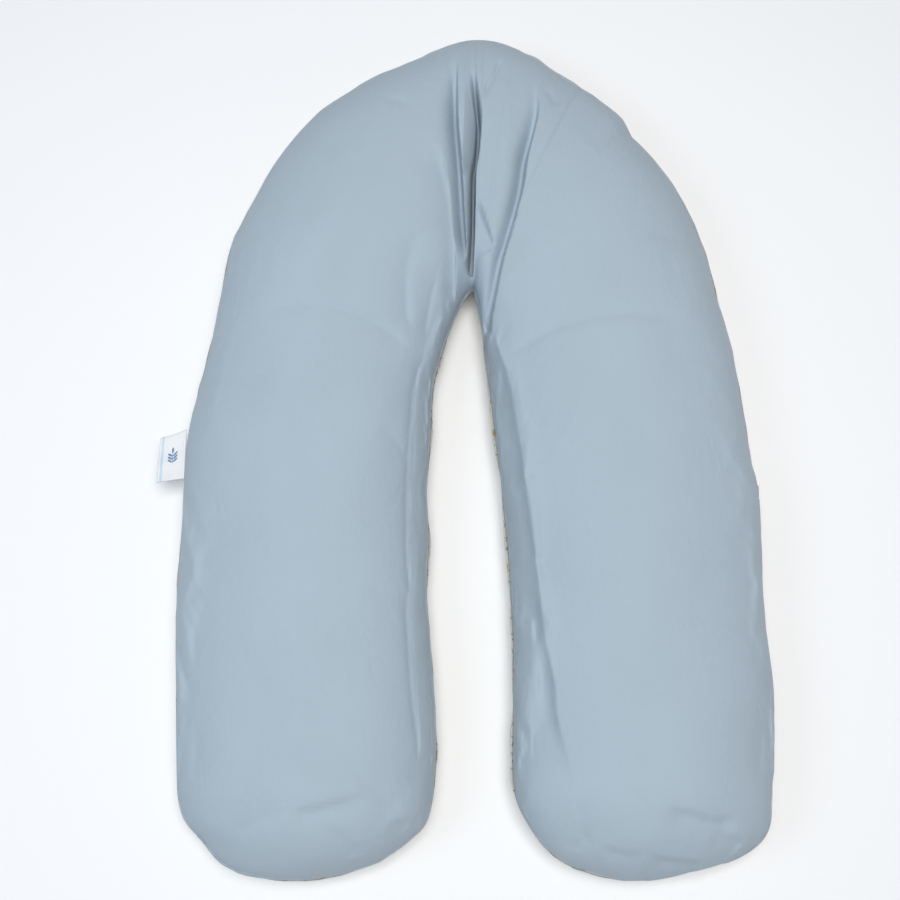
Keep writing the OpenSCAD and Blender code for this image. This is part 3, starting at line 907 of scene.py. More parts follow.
def motif_group():
    """Scattered rings, dots and short strokes: masks for three print colours."""
    tree = bpy.data.node_groups.get("scattered_motifs")
    if tree is not None:
        return tree
    tree, inside, outside = group_tree(
        "scattered_motifs",
        (("Cloth", "vector", None), ("Repeat", "value", 0.03)),
        (("Rings", "value"), ("Dots", "value"), ("Strokes", "value")),
    )
    n = tree.nodes
    split = node(n, "ShaderNodeSeparateXYZ", {0: inside.outputs["Cloth"]})
    flat = node(n, "ShaderNodeCombineXYZ", {"X": split.outputs["X"], "Y": split.outputs["Y"], "Z": 0.0})
    count = maths(n, "DIVIDE", 1.0, inside.outputs["Repeat"])
    sized = node(n, "ShaderNodeVectorMath", {0: flat.outputs[0], "Scale": count}, operation="SCALE")
    place = sized.outputs[0]
    soft = node(n, "ShaderNodeTexNoise", {"Vector": place, "Scale": 2.6, "Detail": 1.0})
    rough = maths(n, "MULTIPLY", maths(n, "SUBTRACT", soft.outputs["Fac"], 0.5), 0.16)

    def cells(offset, scale, randomness):
        moved = node(n, "ShaderNodeVectorMath", {0: place, 1: offset}, operation="ADD").outputs[0]
        return node(
            n, "ShaderNodeTexVoronoi", {"Vector": moved, "Scale": scale, "Randomness": randomness},
            voronoi_dimensions="2D", feature="F1",
        )

    rings = cells((0.0, 0.0, 0.0), 1.0, 0.55)
    distance = maths(n, "ADD", rings.outputs["Distance"], rough)
    ring = maths(n, "ABSOLUTE", maths(n, "SUBTRACT", distance, 0.27))
    tree.links.new(maths(n, "LESS_THAN", ring, 0.035), outside.inputs["Rings"])
    petals = cells((3.3, 7.1, 0.0), 1.0, 0.7)
    pick = node(n, "ShaderNodeSeparateColor", {0: petals.outputs["Color"]})
    small = maths(n, "LESS_THAN", maths(n, "ADD", petals.outputs["Distance"], rough), 0.15)
    tree.links.new(maths(n, "MULTIPLY", small, maths(n, "GREATER_THAN", pick.outputs[0], 0.35)),
                   outside.inputs["Dots"])
    moved = (8.2, 1.7, 0.0)
    bars = cells(moved, 1.9, 0.8)
    offset = node(n, "ShaderNodeVectorMath", {0: bars.outputs["Position"], 1: moved}, operation="SUBTRACT")
    local = node(n, "ShaderNodeVectorMath", {0: place, 1: offset.outputs[0]}, operation="SUBTRACT")
    turn = node(n, "ShaderNodeSeparateColor", {0: bars.outputs["Color"]})
    spun = node(
        n, "ShaderNodeVectorRotate",
        {"Vector": local.outputs[0], "Angle": maths(n, "MULTIPLY", turn.outputs[0], 2 * math.pi)},
        rotation_type="Z_AXIS",
    )
    bar = node(n, "ShaderNodeSeparateXYZ", {0: spun.outputs[0]})
    slim = maths(n, "LESS_THAN", maths(n, "ABSOLUTE", bar.outputs["X"]), 0.022)
    short = maths(n, "LESS_THAN", maths(n, "ABSOLUTE", bar.outputs["Y"]), 0.13)
    tree.links.new(maths(n, "MULTIPLY", slim, short), outside.inputs["Strokes"])
    return tree


def use_group(nodes, tree, values):
    """A node that uses a group, with plain values or links on its inputs."""
    made = nodes.new("ShaderNodeGroup")
    made.node_tree = tree
    for key, value in values.items():
        if isinstance(value, bpy.types.NodeSocket):
            nodes.id_data.links.new(value, made.inputs[key])
        else:
            made.inputs[key].default_value = value
    return made


def cloth_place(nodes):
    """The fabric's own coordinates, kept on its points."""
    return node(nodes, "ShaderNodeAttribute", attribute_name="cloth").outputs["Vector"]


def tinted(nodes, colour, *shades):
    """A colour, or a colour socket, made lighter and darker by shade sockets."""
    out = colour
    for shade in shades:
        source = out if isinstance(out, bpy.types.NodeSocket) else (*out, 1.0)
        grey = node(nodes, "ShaderNodeCombineColor", {0: shade, 1: shade, 2: shade}).outputs[0]
        mix = node(nodes, "ShaderNodeMix", data_type="RGBA", blend_type="MULTIPLY")
        mix.inputs["Factor"].default_value = 1.0
        colours = [s for s in mix.inputs if s.type == "RGBA"]
        if isinstance(source, bpy.types.NodeSocket):
            nodes.id_data.links.new(source, colours[0])
        else:
            colours[0].default_value = source
        nodes.id_data.links.new(grey, colours[1])
        out = next(s for s in mix.outputs if s.type == "RGBA")
    return out


def inked(nodes, links, ground, layers):
    """The ground colour, with each ink laid over it where its mask is 1."""
    colour = None
    for mask, ink in layers:
        mix = node(nodes, "ShaderNodeMix", data_type="RGBA")
        links.new(mask, mix.inputs["Factor"])
        colours = [s for s in mix.inputs if s.type == "RGBA"]
        if colour is None:
            colours[0].default_value = (*ground, 1.0)
        else:
            links.new(colour, colours[0])
        colours[1].default_value = (*ink, 1.0)
        colour = next(s for s in mix.outputs if s.type == "RGBA")
    return colour


def bumps(nodes, links, shader, *layers):
    """Bump layers as (height socket, distance in metres, strength), one over the other."""
    normal = None
    for height, distance, strength in layers:
        made = node(nodes, "ShaderNodeBump", {"Height": height, "Distance": distance, "Strength": strength})
        if normal is not None:
            links.new(normal, made.inputs["Normal"])
        normal = made.outputs[0]
    links.new(normal, shader.inputs["Normal"])


def fabric(name, colour, pitch, slub=0.5, crumple=0.006, sheen=0.1, pull=1.0, edge=1.0):
    """Woven cotton of one colour."""

    def tree(nodes, links, shader):
        place = cloth_place(nodes)
        weave = use_group(nodes, weave_group(), {"Cloth": place, "Thread pitch": pitch, "Slub": slub})
        # edge scales the colour right at the seam: above 1 it paints a highlight there, below 1 it paints
        # shade.
        wrinkles = use_group(
            nodes, crumple_group(), {"Cloth": place, "Seam pull": pull, "Painted seam light and shade": edge}
        )
        links.new(
            tinted(nodes, colour, weave.outputs["Shade"], wrinkles.outputs["Painted seam shading"]),
            shader.inputs["Base Color"],
        )
        dull = maths(nodes, "MULTIPLY_ADD", weave.outputs["Nap"], 0.12, 0.8)
        links.new(dull, shader.inputs["Roughness"])
        bumps(
            nodes, links, shader,
            (wrinkles.outputs["Crumple height"], crumple, 0.6),
            (weave.outputs["Thread height"], 0.00016, 0.5),
        )

    return material(name, tree, Sheen_Weight=sheen, Sheen_Roughness=0.5)


def printed(name, cloth):
    """Cream cotton with scattered motifs in three colours."""

    def tree(nodes, links, shader):
        place = cloth_place(nodes)
        weave = use_group(nodes, weave_group(), {"Cloth": place, "Thread pitch": 0.0005, "Slub": 0.5})
        # The printed side is painted darker right at the seam: painted shade in the seam's groove.
        wrinkles = use_group(nodes, crumple_group(), {"Cloth": place, "Painted seam light and shade": 0.4})
        motifs = use_group(nodes, motif_group(), {"Cloth": place, "Repeat": 0.034})
        inks = (("Rings", cloth.sky), ("Dots", cloth.ochre), ("Strokes", cloth.slate))
        layers = [(motifs.outputs[mask], ink) for mask, ink in inks]
        colour = inked(nodes, links, cloth.ground, layers)
        links.new(
            tinted(nodes, colour, weave.outputs["Shade"], wrinkles.outputs["Painted seam shading"]),
            shader.inputs["Base Color"],
        )
        dull = maths(nodes, "MULTIPLY_ADD", weave.outputs["Nap"], 0.12, 0.8)
        links.new(dull, shader.inputs["Roughness"])
        bumps(
            nodes, links, shader,
            (wrinkles.outputs["Crumple height"], 0.004, 0.5),
            (weave.outputs["Thread height"], 0.00012, 0.35),
        )

    return material(name, tree, Sheen_Weight=0.2, Sheen_Roughness=0.5)


def wadding(name):
    """Loose white fibre."""

    def tree(nodes, links, shader):
        place = cloth_place(nodes)
        tufts = node(
            nodes, "ShaderNodeTexNoise",
            {"Vector": place, "Scale": 60.0, "Detail": 8.0, "Roughness": 0.7},
        )
        hairs = node(
            nodes, "ShaderNodeTexNoise",
            {"Vector": place, "Scale": 300.0, "Detail": 4.0, "Distortion": 3.0},
        )
        shade = maths(nodes, "MULTIPLY_ADD", tufts.outputs["Fac"], 0.2, 0.85)
        links.new(tinted(nodes, (0.90, 0.90, 0.88), shade), shader.inputs["Base Color"])
        links.new(maths(nodes, "MULTIPLY_ADD", hairs.outputs["Fac"], 0.1, 0.88), shader.inputs["Roughness"])
        bumps(nodes, links, shader, (tufts.outputs["Fac"], 0.004, 0.8), (hairs.outputs["Fac"], 0.0006, 0.8))

    return material(name, tree, Sheen_Weight=0.5, Sheen_Roughness=0.6)


def thread(name, colour=(0.62, 0.70, 0.78)):
    """Twisted sewing thread."""

    def tree(nodes, links, shader):
        place = node(nodes, "ShaderNodeTexCoord").outputs["Object"]
        twist = node(nodes, "ShaderNodeTexWave", {"Vector": place, "Scale": 900.0, "Distortion": 1.0})
        shade = maths(nodes, "MULTIPLY_ADD", twist.outputs["Fac"], 0.25, 0.8)
        links.new(tinted(nodes, colour, shade), shader.inputs["Base Color"])
        links.new(maths(nodes, "MULTIPLY_ADD", twist.outputs["Fac"], 0.15, 0.55), shader.inputs["Roughness"])
        bumps(nodes, links, shader, (twist.outputs["Fac"], 0.0001, 0.6))

    return material(name, tree, Sheen_Weight=0.2)


def plastic(name, colour):
    """Dyed nylon with a faint drawn grain."""

    def tree(nodes, links, shader):
        place = node(nodes, "ShaderNodeTexCoord").outputs["Object"]
        grain = node(nodes, "ShaderNodeTexNoise", {"Vector": place, "Scale": 1500.0, "Detail": 2.0})
        shade = maths(nodes, "MULTIPLY_ADD", grain.outputs["Fac"], 0.16, 0.92)
        links.new(tinted(nodes, colour, shade), shader.inputs["Base Color"])
        links.new(maths(nodes, "MULTIPLY_ADD", grain.outputs["Fac"], 0.2, 0.3), shader.inputs["Roughness"])
        bumps(nodes, links, shader, (grain.outputs["Fac"], 0.00003, 0.5))

    return material(name, tree)


def plated(name):
    """Satin zinc plate with brushed marks, worn brighter on its edges."""

    def tree(nodes, links, shader):
        place = node(nodes, "ShaderNodeTexCoord").outputs["Object"]
        stretch = (2500.0, 160.0, 2500.0)
        long = node(nodes, "ShaderNodeVectorMath", {0: place, 1: stretch}, operation="MULTIPLY")
        brush = node(nodes, "ShaderNodeTexNoise", {"Vector": long.outputs[0], "Scale": 1.0, "Detail": 3.0})
        stain = node(nodes, "ShaderNodeTexNoise", {"Vector": place, "Scale": 320.0, "Detail": 3.0})
        worn = node(nodes, "ShaderNodeNewGeometry").outputs["Pointiness"]
        edge = node(
            nodes, "ShaderNodeMapRange",
            {"Value": worn, "From Min": 0.5, "From Max": 0.58, "To Min": 0.0, "To Max": 0.22},
        )
        shade = maths(nodes, "MULTIPLY_ADD", stain.outputs["Fac"], 0.14, 0.84)
        shade = maths(nodes, "ADD", shade, edge.outputs[0])
        links.new(tinted(nodes, (0.60, 0.61, 0.62), shade), shader.inputs["Base Color"])
        links.new(maths(nodes, "MULTIPLY_ADD", brush.outputs["Fac"], 0.22, 0.22), shader.inputs["Roughness"])
        bumps(nodes, links, shader, (brush.outputs["Fac"], 0.00003, 0.4))

    return material(name, tree, Metallic=1.0)


LABEL_FACE = (32.0, 62.0)  # reach and width of the label's face, in millimetres


def ribbon_satin(name):
    """White woven ribbon with a pale blue stripe by its folded edge and a small leaf sprig."""

    def tree(nodes, links, shader):
        cloth_at = cloth_place(nodes)
        weave = use_group(nodes, weave_group(), {"Cloth": cloth_at, "Thread pitch": 0.00035, "Slub": 0.1})
        place = node(nodes, "ShaderNodeAttribute", attribute_name="label").outputs["Vector"]
        at = node(nodes, "ShaderNodeSeparateXYZ", {0: place})
        u, v = at.outputs["X"], at.outputs["Y"]

        def leaf(cx, cy, angle, long, wide):
            """Mask of an ellipse; its middle is a share of the label, its half sizes are in millimetres."""
            dx = maths(nodes, "MULTIPLY", maths(nodes, "SUBTRACT", u, cx), LABEL_FACE[0])
            dy = maths(nodes, "MULTIPLY", maths(nodes, "SUBTRACT", v, cy), LABEL_FACE[1])
            c, s = math.cos(angle), math.sin(angle)
            a = maths(nodes, "MULTIPLY_ADD", dx, c / long, maths(nodes, "MULTIPLY", dy, s / long))
            b = maths(nodes, "MULTIPLY_ADD", dx, -s / wide, maths(nodes, "MULTIPLY", dy, c / wide))
            r = maths(nodes, "MULTIPLY_ADD", a, a, maths(nodes, "MULTIPLY", b, b))
            return maths(nodes, "LESS_THAN", r, 1.0)

        mask = leaf(0.5, 0.5, math.radians(90), 9.0, 0.5)
        for step, side in ((-2, 1), (-2, -1), (0, 1), (0, -1), (2, 1), (2, -1)):
            spot = leaf(0.5 + side * 0.105, 0.5 + step * 0.034, math.radians(-side * 42), 3.6, 1.3)
            mask = maths(nodes, "MAXIMUM", mask, spot)
        mask = maths(nodes, "MAXIMUM", mask, leaf(0.5, 0.345, math.radians(90), 3.6, 1.4))
        stripe = maths(nodes, "LESS_THAN", maths(nodes, "ABSOLUTE", maths(nodes, "SUBTRACT", u, 0.92)), 0.045)
        layers = ((stripe, (0.50, 0.64, 0.78)), (mask, (0.10, 0.22, 0.42)))
        colour = inked(nodes, links, (0.76, 0.77, 0.79), layers)
        links.new(tinted(nodes, colour, weave.outputs["Shade"]), shader.inputs["Base Color"])
        links.new(maths(nodes, "MULTIPLY_ADD", weave.outputs["Nap"], 0.14, 0.34), shader.inputs["Roughness"])
        bumps(nodes, links, shader, (weave.outputs["Thread height"], 0.00008, 0.5), (mask, 0.00015, 0.6))

    return material(name, tree, Sheen_Weight=0.2)


def finish_piece(obj, mat, slot, *nodes):
    """Gives a piece its material and hides the CAD nodes that it stands for; slot is not used."""
    obj.data.materials.clear()
    obj.data.materials.append(mat)
    if nodes:
        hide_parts(*nodes)
    return obj


def across_bend(obj):
    """Bakes the transform of a soft piece that runs from the right half over the bend to the left half into
    its mesh.
    """
    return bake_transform(obj)


# Layers of the pillow

# Extra rows and columns close to the seam, and extra columns (first and last angle, number) where an
# arm's upper side turns down to its inner seam.
LIP = (0.008, 0.017, 0.028, 0.042)
LEDGE = (2.2, 2.85, 18)
# The gap's narrow end: the bend's inner seam.
APEX = (BEND_RIB[1][0] * MM, BEND_RIB[1][1] * MM)
FOLDS = Folds()
# How much of a crease goes sideways and straight down, and the share of the height that a pleat leaves.
CREASE_WAY = np.array([0.25, 0.25, 1.0])
PLEAT_LEAVES = 0.15
OUTWARDS = np.array([1, 1, 0])
PUCKER = 0.0016
PUCKER_WAVES = ((0.034, 0.5, 0.2), (0.047, 1.7, 1.3), (0.029, 2.6, 2.9), (0.061, 1.1, 0.7))
ROLL_WAVES = ((0.21, 1.5, 0.4), (0.13, 1.7, 2.2), (0.31, 0.2, 1.0))
ROLL_HEIGHT = 0.012
# The filling stays this far inside the case's edge and below its faces, and its tufts are this deep.
FIBRE_INSET = 0.011
FIBRE_SINK = 0.004
TUFT_DEPTH = 0.0022
TUFT_WAVES = ((0.037, 0.3, 0.1), (0.026, 1.3, 2.0), (0.019, 2.4, 0.9), (0.043, 0.9, 4.0))
# Rows, columns and extra rows at the bend of each layer's grid.
FINE = {"cover_front": (500, 92, 220), "cover_back": (440, 80, 60), "case": (320, 60, 200),
        "filling": (330, 56, 120)}
COARSE = (236, 46)
SETTLED = {}


def edge_puckers(grid):
    """Small pulls of the cloth beside the seam, as a height along the normal."""
    x, y = grid[:, :, 0], grid[:, :, 1]
    edge = cloth_lengths(grid)[:, :, 2]
    pull = PUCKER * ripple(x, y, PUCKER_WAVES)
    return pull * loose(x, y) * np.exp(-edge / 0.02) * (1 - np.exp(-edge / 0.004))


def panel_grid(props, face, fine, shift, coarse, inset=0.0, sink=0.0, soft=0.001, lip=0.0018):
    """The finished grid of a panel: stuffed shape, cloth shift, folds, puckers and the seam's lip."""
    shape = props.pillow_shape
    tube = Tube(shape, inset)
    extra = LIP if lip else ()
    rows, angles = tube.rows(fine[0], extra, fine[2]), column_angles(fine[1], extra)
    if face == FRONT and lip:
        angles = np.unique(np.concatenate([angles, np.linspace(*LEDGE)]))
    grid, plan = stuffed(tube, shape, face, rows, angles, sink)
    # the gap's narrow end has no room for the cloth's own shift, and the inner layers stay lower there
    apex = np.hypot(plan[:, :, 0] - APEX[0], plan[:, :, 1] - APEX[1])
    free = smoothstep(apex, 0.02, 0.08)[:, :, None]
    grid = grid + carry(shift, *coarse, rows, angles) * free
    n = steady_normals(grid) * face
    height = np.abs(grid[:, :, 2] - shape.seam_z)
    if face == FRONT:
        creases, pleats = FOLDS.depth(plan, soft)
        eased = smoothstep(height, 0.0, 0.03 if lip else 0.01)
        grid = grid - n * (creases * eased)[:, :, None] * CREASE_WAY
        above = grid[:, :, 2] - shape.seam_z
        grid[:, :, 2] = shape.seam_z + np.maximum(above - pleats * eased, PLEAT_LEAVES * above)
    elif lip:
        grid = grid + below_seam(grid, n, height)
    if not lip:
        low = 1 - 0.3 * (1 - smoothstep(apex, 0.01, 0.09))
        grid[:, :, 2] = shape.seam_z + (grid[:, :, 2] - shape.seam_z) * low
    grid = grid + n * edge_puckers(grid)[:, :, None]
    if lip:
        flare = lip * np.exp(-((height / 0.003) ** 2)) * (0.4 + 0.6 * loose(grid[:, :, 0], grid[:, :, 1]))
        grid = grid + n * flare[:, :, None] * OUTWARDS
    grid[:, :, 2] = np.maximum(grid[:, :, 2], sink + 0.0004)
    return grid


def below_seam(grid, n, height):
    """The printed side's roll just below the seam, which stands out past it in places."""
    x, y = grid[:, :, 0], grid[:, :, 1]
    patches = 0.5 + 0.5 * ripple(x, y, ROLL_WAVES)
    apex = smoothstep(np.hypot(x - APEX[0], y - APEX[1]), 0.03, 0.12)
    least, more = 0.0014, 0.0042
    reach = (least + more * smoothstep(patches, 0.25, 0.8)) * apex * loose(x, y)
    roll = reach * (height / ROLL_HEIGHT) * np.exp(1 - height / ROLL_HEIGHT)
    return n * roll[:, :, None] * OUTWARDS


def seam_wander(grid, shape):
    """Lets the edge seam rise and fall a little along the tube, fading into the panels."""
    height = grid[:, :, 2] - shape.seam_z
    grid = grid.copy()
    grid[:, :, 2] += wander(grid[:, :, 0], grid[:, :, 1]) * np.exp(-((height / 0.05) ** 2))
    return grid


def settled(scene):
    """The coarse grid's rows and columns, and both faces' shifts, simulated once for all layers."""
    if "shifts" not in SETTLED:
        tube = Tube(scene.pillow_shape)
        coarse = (tube.rows(COARSE[0]), column_angles(COARSE[1]))
        faces = [stuffed(tube, scene.pillow_shape, face, *coarse)[0] for face in (FRONT, BACK)]
        SETTLED["coarse"] = coarse
        SETTLED["shifts"] = settle(*faces, scene.pillow_cloth)
    return SETTLED["coarse"], SETTLED["shifts"]


class PILLOW_OT_cover(bpy.types.Operator):
    """Build the cover: a plain and a printed panel that were sewn together at the edge seam"""

    bl_idname = "pillow.cover"
    bl_label = "Cover"

    def execute(self, context):
        scene = context.scene
        shape, cloth = scene.pillow_shape, scene.pillow_cloth
        coarse, shifts = settled(scene)
        # The plain side is painted 14 % lighter right at the seam: a painted highlight on the seam's ridge.
        plain = fabric("plain_cotton", tuple(cloth.plain), 0.0005, edge=1.14)
        made = (
            ("cover_front", FRONT, plain, "cover_plain", ("cover_front_right", "cover_front_left")),
            ("cover_back", BACK, printed("printed_cotton", cloth), "cover_print",
             ("cover_back_right", "cover_back_left")),
        )
        for (name, face, mat, slot, nodes), shift in zip(made, shifts):
            grid = panel_grid(scene, face, FINE[name], shift, coarse)
            grid = open_slit(seam_wander(grid, shape), face, shape)
            obj = sheet_of_cloth(name, grid, shape.cover_thickness, face)
            finish_piece(obj, mat, slot, *nodes)
            across_bend(obj)
        return {"FINISHED"}


def open_slit(grid, face, shape):
    """Parts the panel from the seam line along the zip, where the two edges stand open."""
    low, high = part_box("zip_coil_front")
    half_width = 0.007
    y = grid[:, :, 1]
    open_share = smoothstep(y, low.y - 0.022, low.y - 0.004) * (1 - smoothstep(y, high.y, high.y + 0.018))
    outer = smoothstep(grid[:, :, 0], 0.30, 0.34)
    height = np.abs(grid[:, :, 2] - shape.seam_z)
    grid = grid.copy()
    grid[:, :, 2] += face * half_width * open_share * outer * np.exp(-height / 0.02)
    return grid


class PILLOW_OT_cover_seam(bpy.types.Operator):
    """Build the cover's edge seam: its turned-in edges and the thread that joins the panels"""

    bl_idname = "pillow.cover_seam"
    bl_label = "Cover seam"

    def execute(self, context):
        shape, trim = context.scene.pillow_shape, context.scene.pillow_trim
        cotton = fabric("seam_cotton", (0.46, 0.53, 0.60), 0.0005, crumple=0.001)
        band = seam_band("cover_seam_allowance", shape, inset=0.0028, thickness=0.0014, skip_slit=True)
        finish_piece(band, cotton, "cover_plain", "cover_seam_right", "cover_seam_left")
        across_bend(band)
        line, inward = rim_line(shape, 0.0022, trim.stitch_pitch)
        shown = ~in_slit(line, 0.01)
        half, rise, radius = 0.0011, 0.0007, 0.00022
        paths = []
        for (x, y), (u, v) in zip(line[shown], inward[shown]):
            z = shape.seam_z + wander(x, y)
            start = (x - v * half, y + u * half, z - rise)
            end = (x + v * half, y - u * half, z - rise)
            paths.append([start, (x, y, z + rise), end])
        stitches = threads("cover_seam_stitches", paths, radius, sides=5)
        finish_piece(stitches, thread("seam_thread"), "thread")
        across_bend(stitches)
        return {"FINISHED"}


class PILLOW_OT_inner_cushion(bpy.types.Operator):
    """Build the inner cushion: its two case panels, their seam, its closing stitches and the filling"""

    bl_idname = "pillow.inner_cushion"
    bl_label = "Inner cushion"

    def execute(self, context):
        scene = context.scene
        shape = scene.pillow_shape
        coarse, shifts = settled(scene)
        inset = self.case_inset()
        white = fabric("case_cotton", (0.82, 0.82, 0.79), 0.0006, slub=0.8, crumple=0.005, sheen=0.15)
        sink, thickness = 0.0065, 0.0006
        for name, face, shift, nodes in (
            ("inner_case_front", FRONT, shifts[0], ("inner_case_front_right", "inner_case_front_left")),
            ("inner_case_back", BACK, shifts[1], ("inner_case_back_right", "inner_case_back_left")),
        ):
            grid = panel_grid(scene, face, FINE["case"], shift, coarse, inset, sink, 0.004, lip=0)
            obj = sheet_of_cloth(name, seam_wander(grid, shape), thickness, face)
            finish_piece(obj, white, "inner_case", *nodes)
            across_bend(obj)
        band = seam_band("inner_seam_allowance", shape, inset=inset + 0.001, thickness=0.001)
        finish_piece(band, white, "inner_case", "inner_seam_right", "inner_seam_left")
        across_bend(band)
        self.closing_stitches(shape, inset)
        self.filling(scene, shifts, coarse, inset + FIBRE_INSET, sink + FIBRE_SINK)
        return {"FINISHED"}

    def case_inset(self):
        """How far the case's edge lies inside the cover's edge, from the CAD pieces."""
        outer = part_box("cover_front_left")[0].x
        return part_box("inner_case_front_left")[0].x - outer

    def closing_stitches(self, shape, inset):
        """Overcast stitches round the edge of the slot where the filling went in."""
        low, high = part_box("inner_closing_stitches")
        line, inward = rim_line(shape, inset, 0.004)
        at_end = (line[:, 0] > low.x) & (line[:, 0] < high.x) & (line[:, 1] < -0.45)
        turn = np.linspace(-0.7, math.pi + 0.7, 9)
        reach, lean = 0.0016, 0.0004
        paths = []
        for (x, y), (u, v) in zip(line[at_end], inward[at_end]):
            z = shape.seam_z + wander(x, y)
            out = reach * np.sin(turn)
            on = lean * turn
            stitch = (x - u * out - v * on, y - v * out + u * on, z + reach * np.cos(turn))
            paths.append(np.stack(stitch, axis=1))
        stitches = threads("inner_closing_stitches_sewn", paths, 0.0003)
        finish_piece(stitches, thread("seam_thread"), "thread", "inner_closing_stitches")
        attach(stitches, "right_half")

    def filling(self, scene, shifts, coarse, inset, sink):
        """The loose fibre, as one closed lump with an uneven surface."""
        shape = scene.pillow_shape
        grids = []
        for face, shift in zip((FRONT, BACK), shifts):
            grid = panel_grid(scene, face, FINE["filling"], shift, coarse, inset, sink, 0.006, lip=0)
            tufts = ripple(grid[:, :, 0], grid[:, :, 1], TUFT_WAVES)
            away = np.abs(grid[:, :, 2] - shape.seam_z)
            depth = TUFT_DEPTH * (1 + tufts) * smoothstep(away, 0, 0.02)
            grids.append(grid - grid_normals(grid) * face * depth[:, :, None])
        _, _, keep, _, faces = joined_grids(*grids[0].shape[:2])
        flat = np.concatenate([g.reshape(-1, 3) for g in grids])
        lengths = np.concatenate([cloth_lengths(g).reshape(-1, 3) for g in grids])
        obj = mesh_object("filling", flat[keep], faces)
        store_cloth(obj, lengths[keep])
        finish_piece(obj, wadding("white_fibre"), "filling", "filling_right", "filling_left")
        across_bend(obj)


class PILLOW_OT_zip(bpy.types.Operator):
    """Build the zip chain: tapes, coils and stops"""

    bl_idname = "pillow.zip"
    bl_label = "Zip"

    def execute(self, context):
        trim = context.scene.pillow_trim
        grey = fabric("tape_twill", (0.33, 0.38, 0.43), 0.0004, slub=0.2, crumple=0.0003, sheen=0.1, pull=0)
        nylon = plastic("nylon", (0.30, 0.34, 0.39))
        for face, side in ((FRONT, "front"), (BACK, "back")):
            tape = self.tape(side, face)
            finish_piece(tape, grey, "zip_tape", f"zip_tape_{side}")
            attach(tape, "right_half")
            coil = self.coil(side, face, trim.tooth_pitch)
            finish_piece(coil, nylon, "zip_coil", f"zip_coil_{side}")
            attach(coil, "right_half")
        steel = plated("satin_plate")
        for name in ("zip_top_stops", "zip_bottom_stop"):
            stop = eased_copy(name + "_pressed", name, 0.00025)
            finish_piece(stop, steel, "zip_metal", name)
            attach(stop, "right_half")
        return {"FINISHED"}

    def tape(self, side, face):
        """One woven tape: it thickens at the corded edge that carries the coil."""
        low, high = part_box(f"zip_tape_{side}")
        y = np.linspace(low.y, high.y, 120)
        w = np.linspace(0, 1, 14)
        near, far = (low.z, high.z) if face == FRONT else (high.z, low.z)
        z = near + (far - near) * w
        yy, zz = np.meshgrid(y, z, indexing="ij")
        sway = 0.00025 * np.sin(yy / 0.021) * w[None, :] ** 2
        cord = 0.00016 * np.exp(-(((w - 0.09) / 0.06) ** 2))[None, :]
        x = np.full_like(yy, high.x - 0.0002) - sway + cord
        grid = np.stack([x, yy, zz], axis=-1)
        return sheet_of_cloth(f"zip_tape_{side}_woven", grid, 0.00045, face)

    def coil(self, side, face, pitch):
        """A nylon thread wound into teeth, squeezed flat towards the other coil."""
        low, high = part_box(f"zip_coil_{side}")
        middle = (low + high) / 2
        reach = (high.z - low.z) / 2
        wire = 0.00026
        mesh_in = 0.00012
        turns = (high.y - low.y - 2 * wire) / pitch
        t = np.arange(0, turns, 1 / 12)
        phase = 2 * math.pi * t + (0 if face == FRONT else math.pi)
        across = np.cos(phase) * (reach + mesh_in - wire)
        out = np.sin(phase) * (reach - wire)
        along = low.y + wire + t * pitch
        path = np.stack([middle.x + out, along, middle.z - face * mesh_in + across], axis=1)
        return threads(f"zip_coil_{side}_teeth", [path], wire)


class PILLOW_OT_slider(bpy.types.Operator):
    """Build the zip's slider and its pull tab"""

    bl_idname = "pillow.slider"
    bl_label = "Slider"

    def execute(self, context):
        steel = plated("satin_plate")
        for name, node_name, width, body in (
            ("zip_slider_cast", "zip_slider_body", 0.00022, "zip_slider"),
            ("zip_pull_stamped", "zip_pull_tab", 0.0002, "zip_pull"),
        ):
            obj = eased_copy(name, node_name, width)
            finish_piece(obj, steel, "zip_metal", node_name)
            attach(obj, body)
        return {"FINISHED"}


# Width and length of the woven label's ribbon before it is folded in half.
LABEL_CUT = (0.062, 0.066)


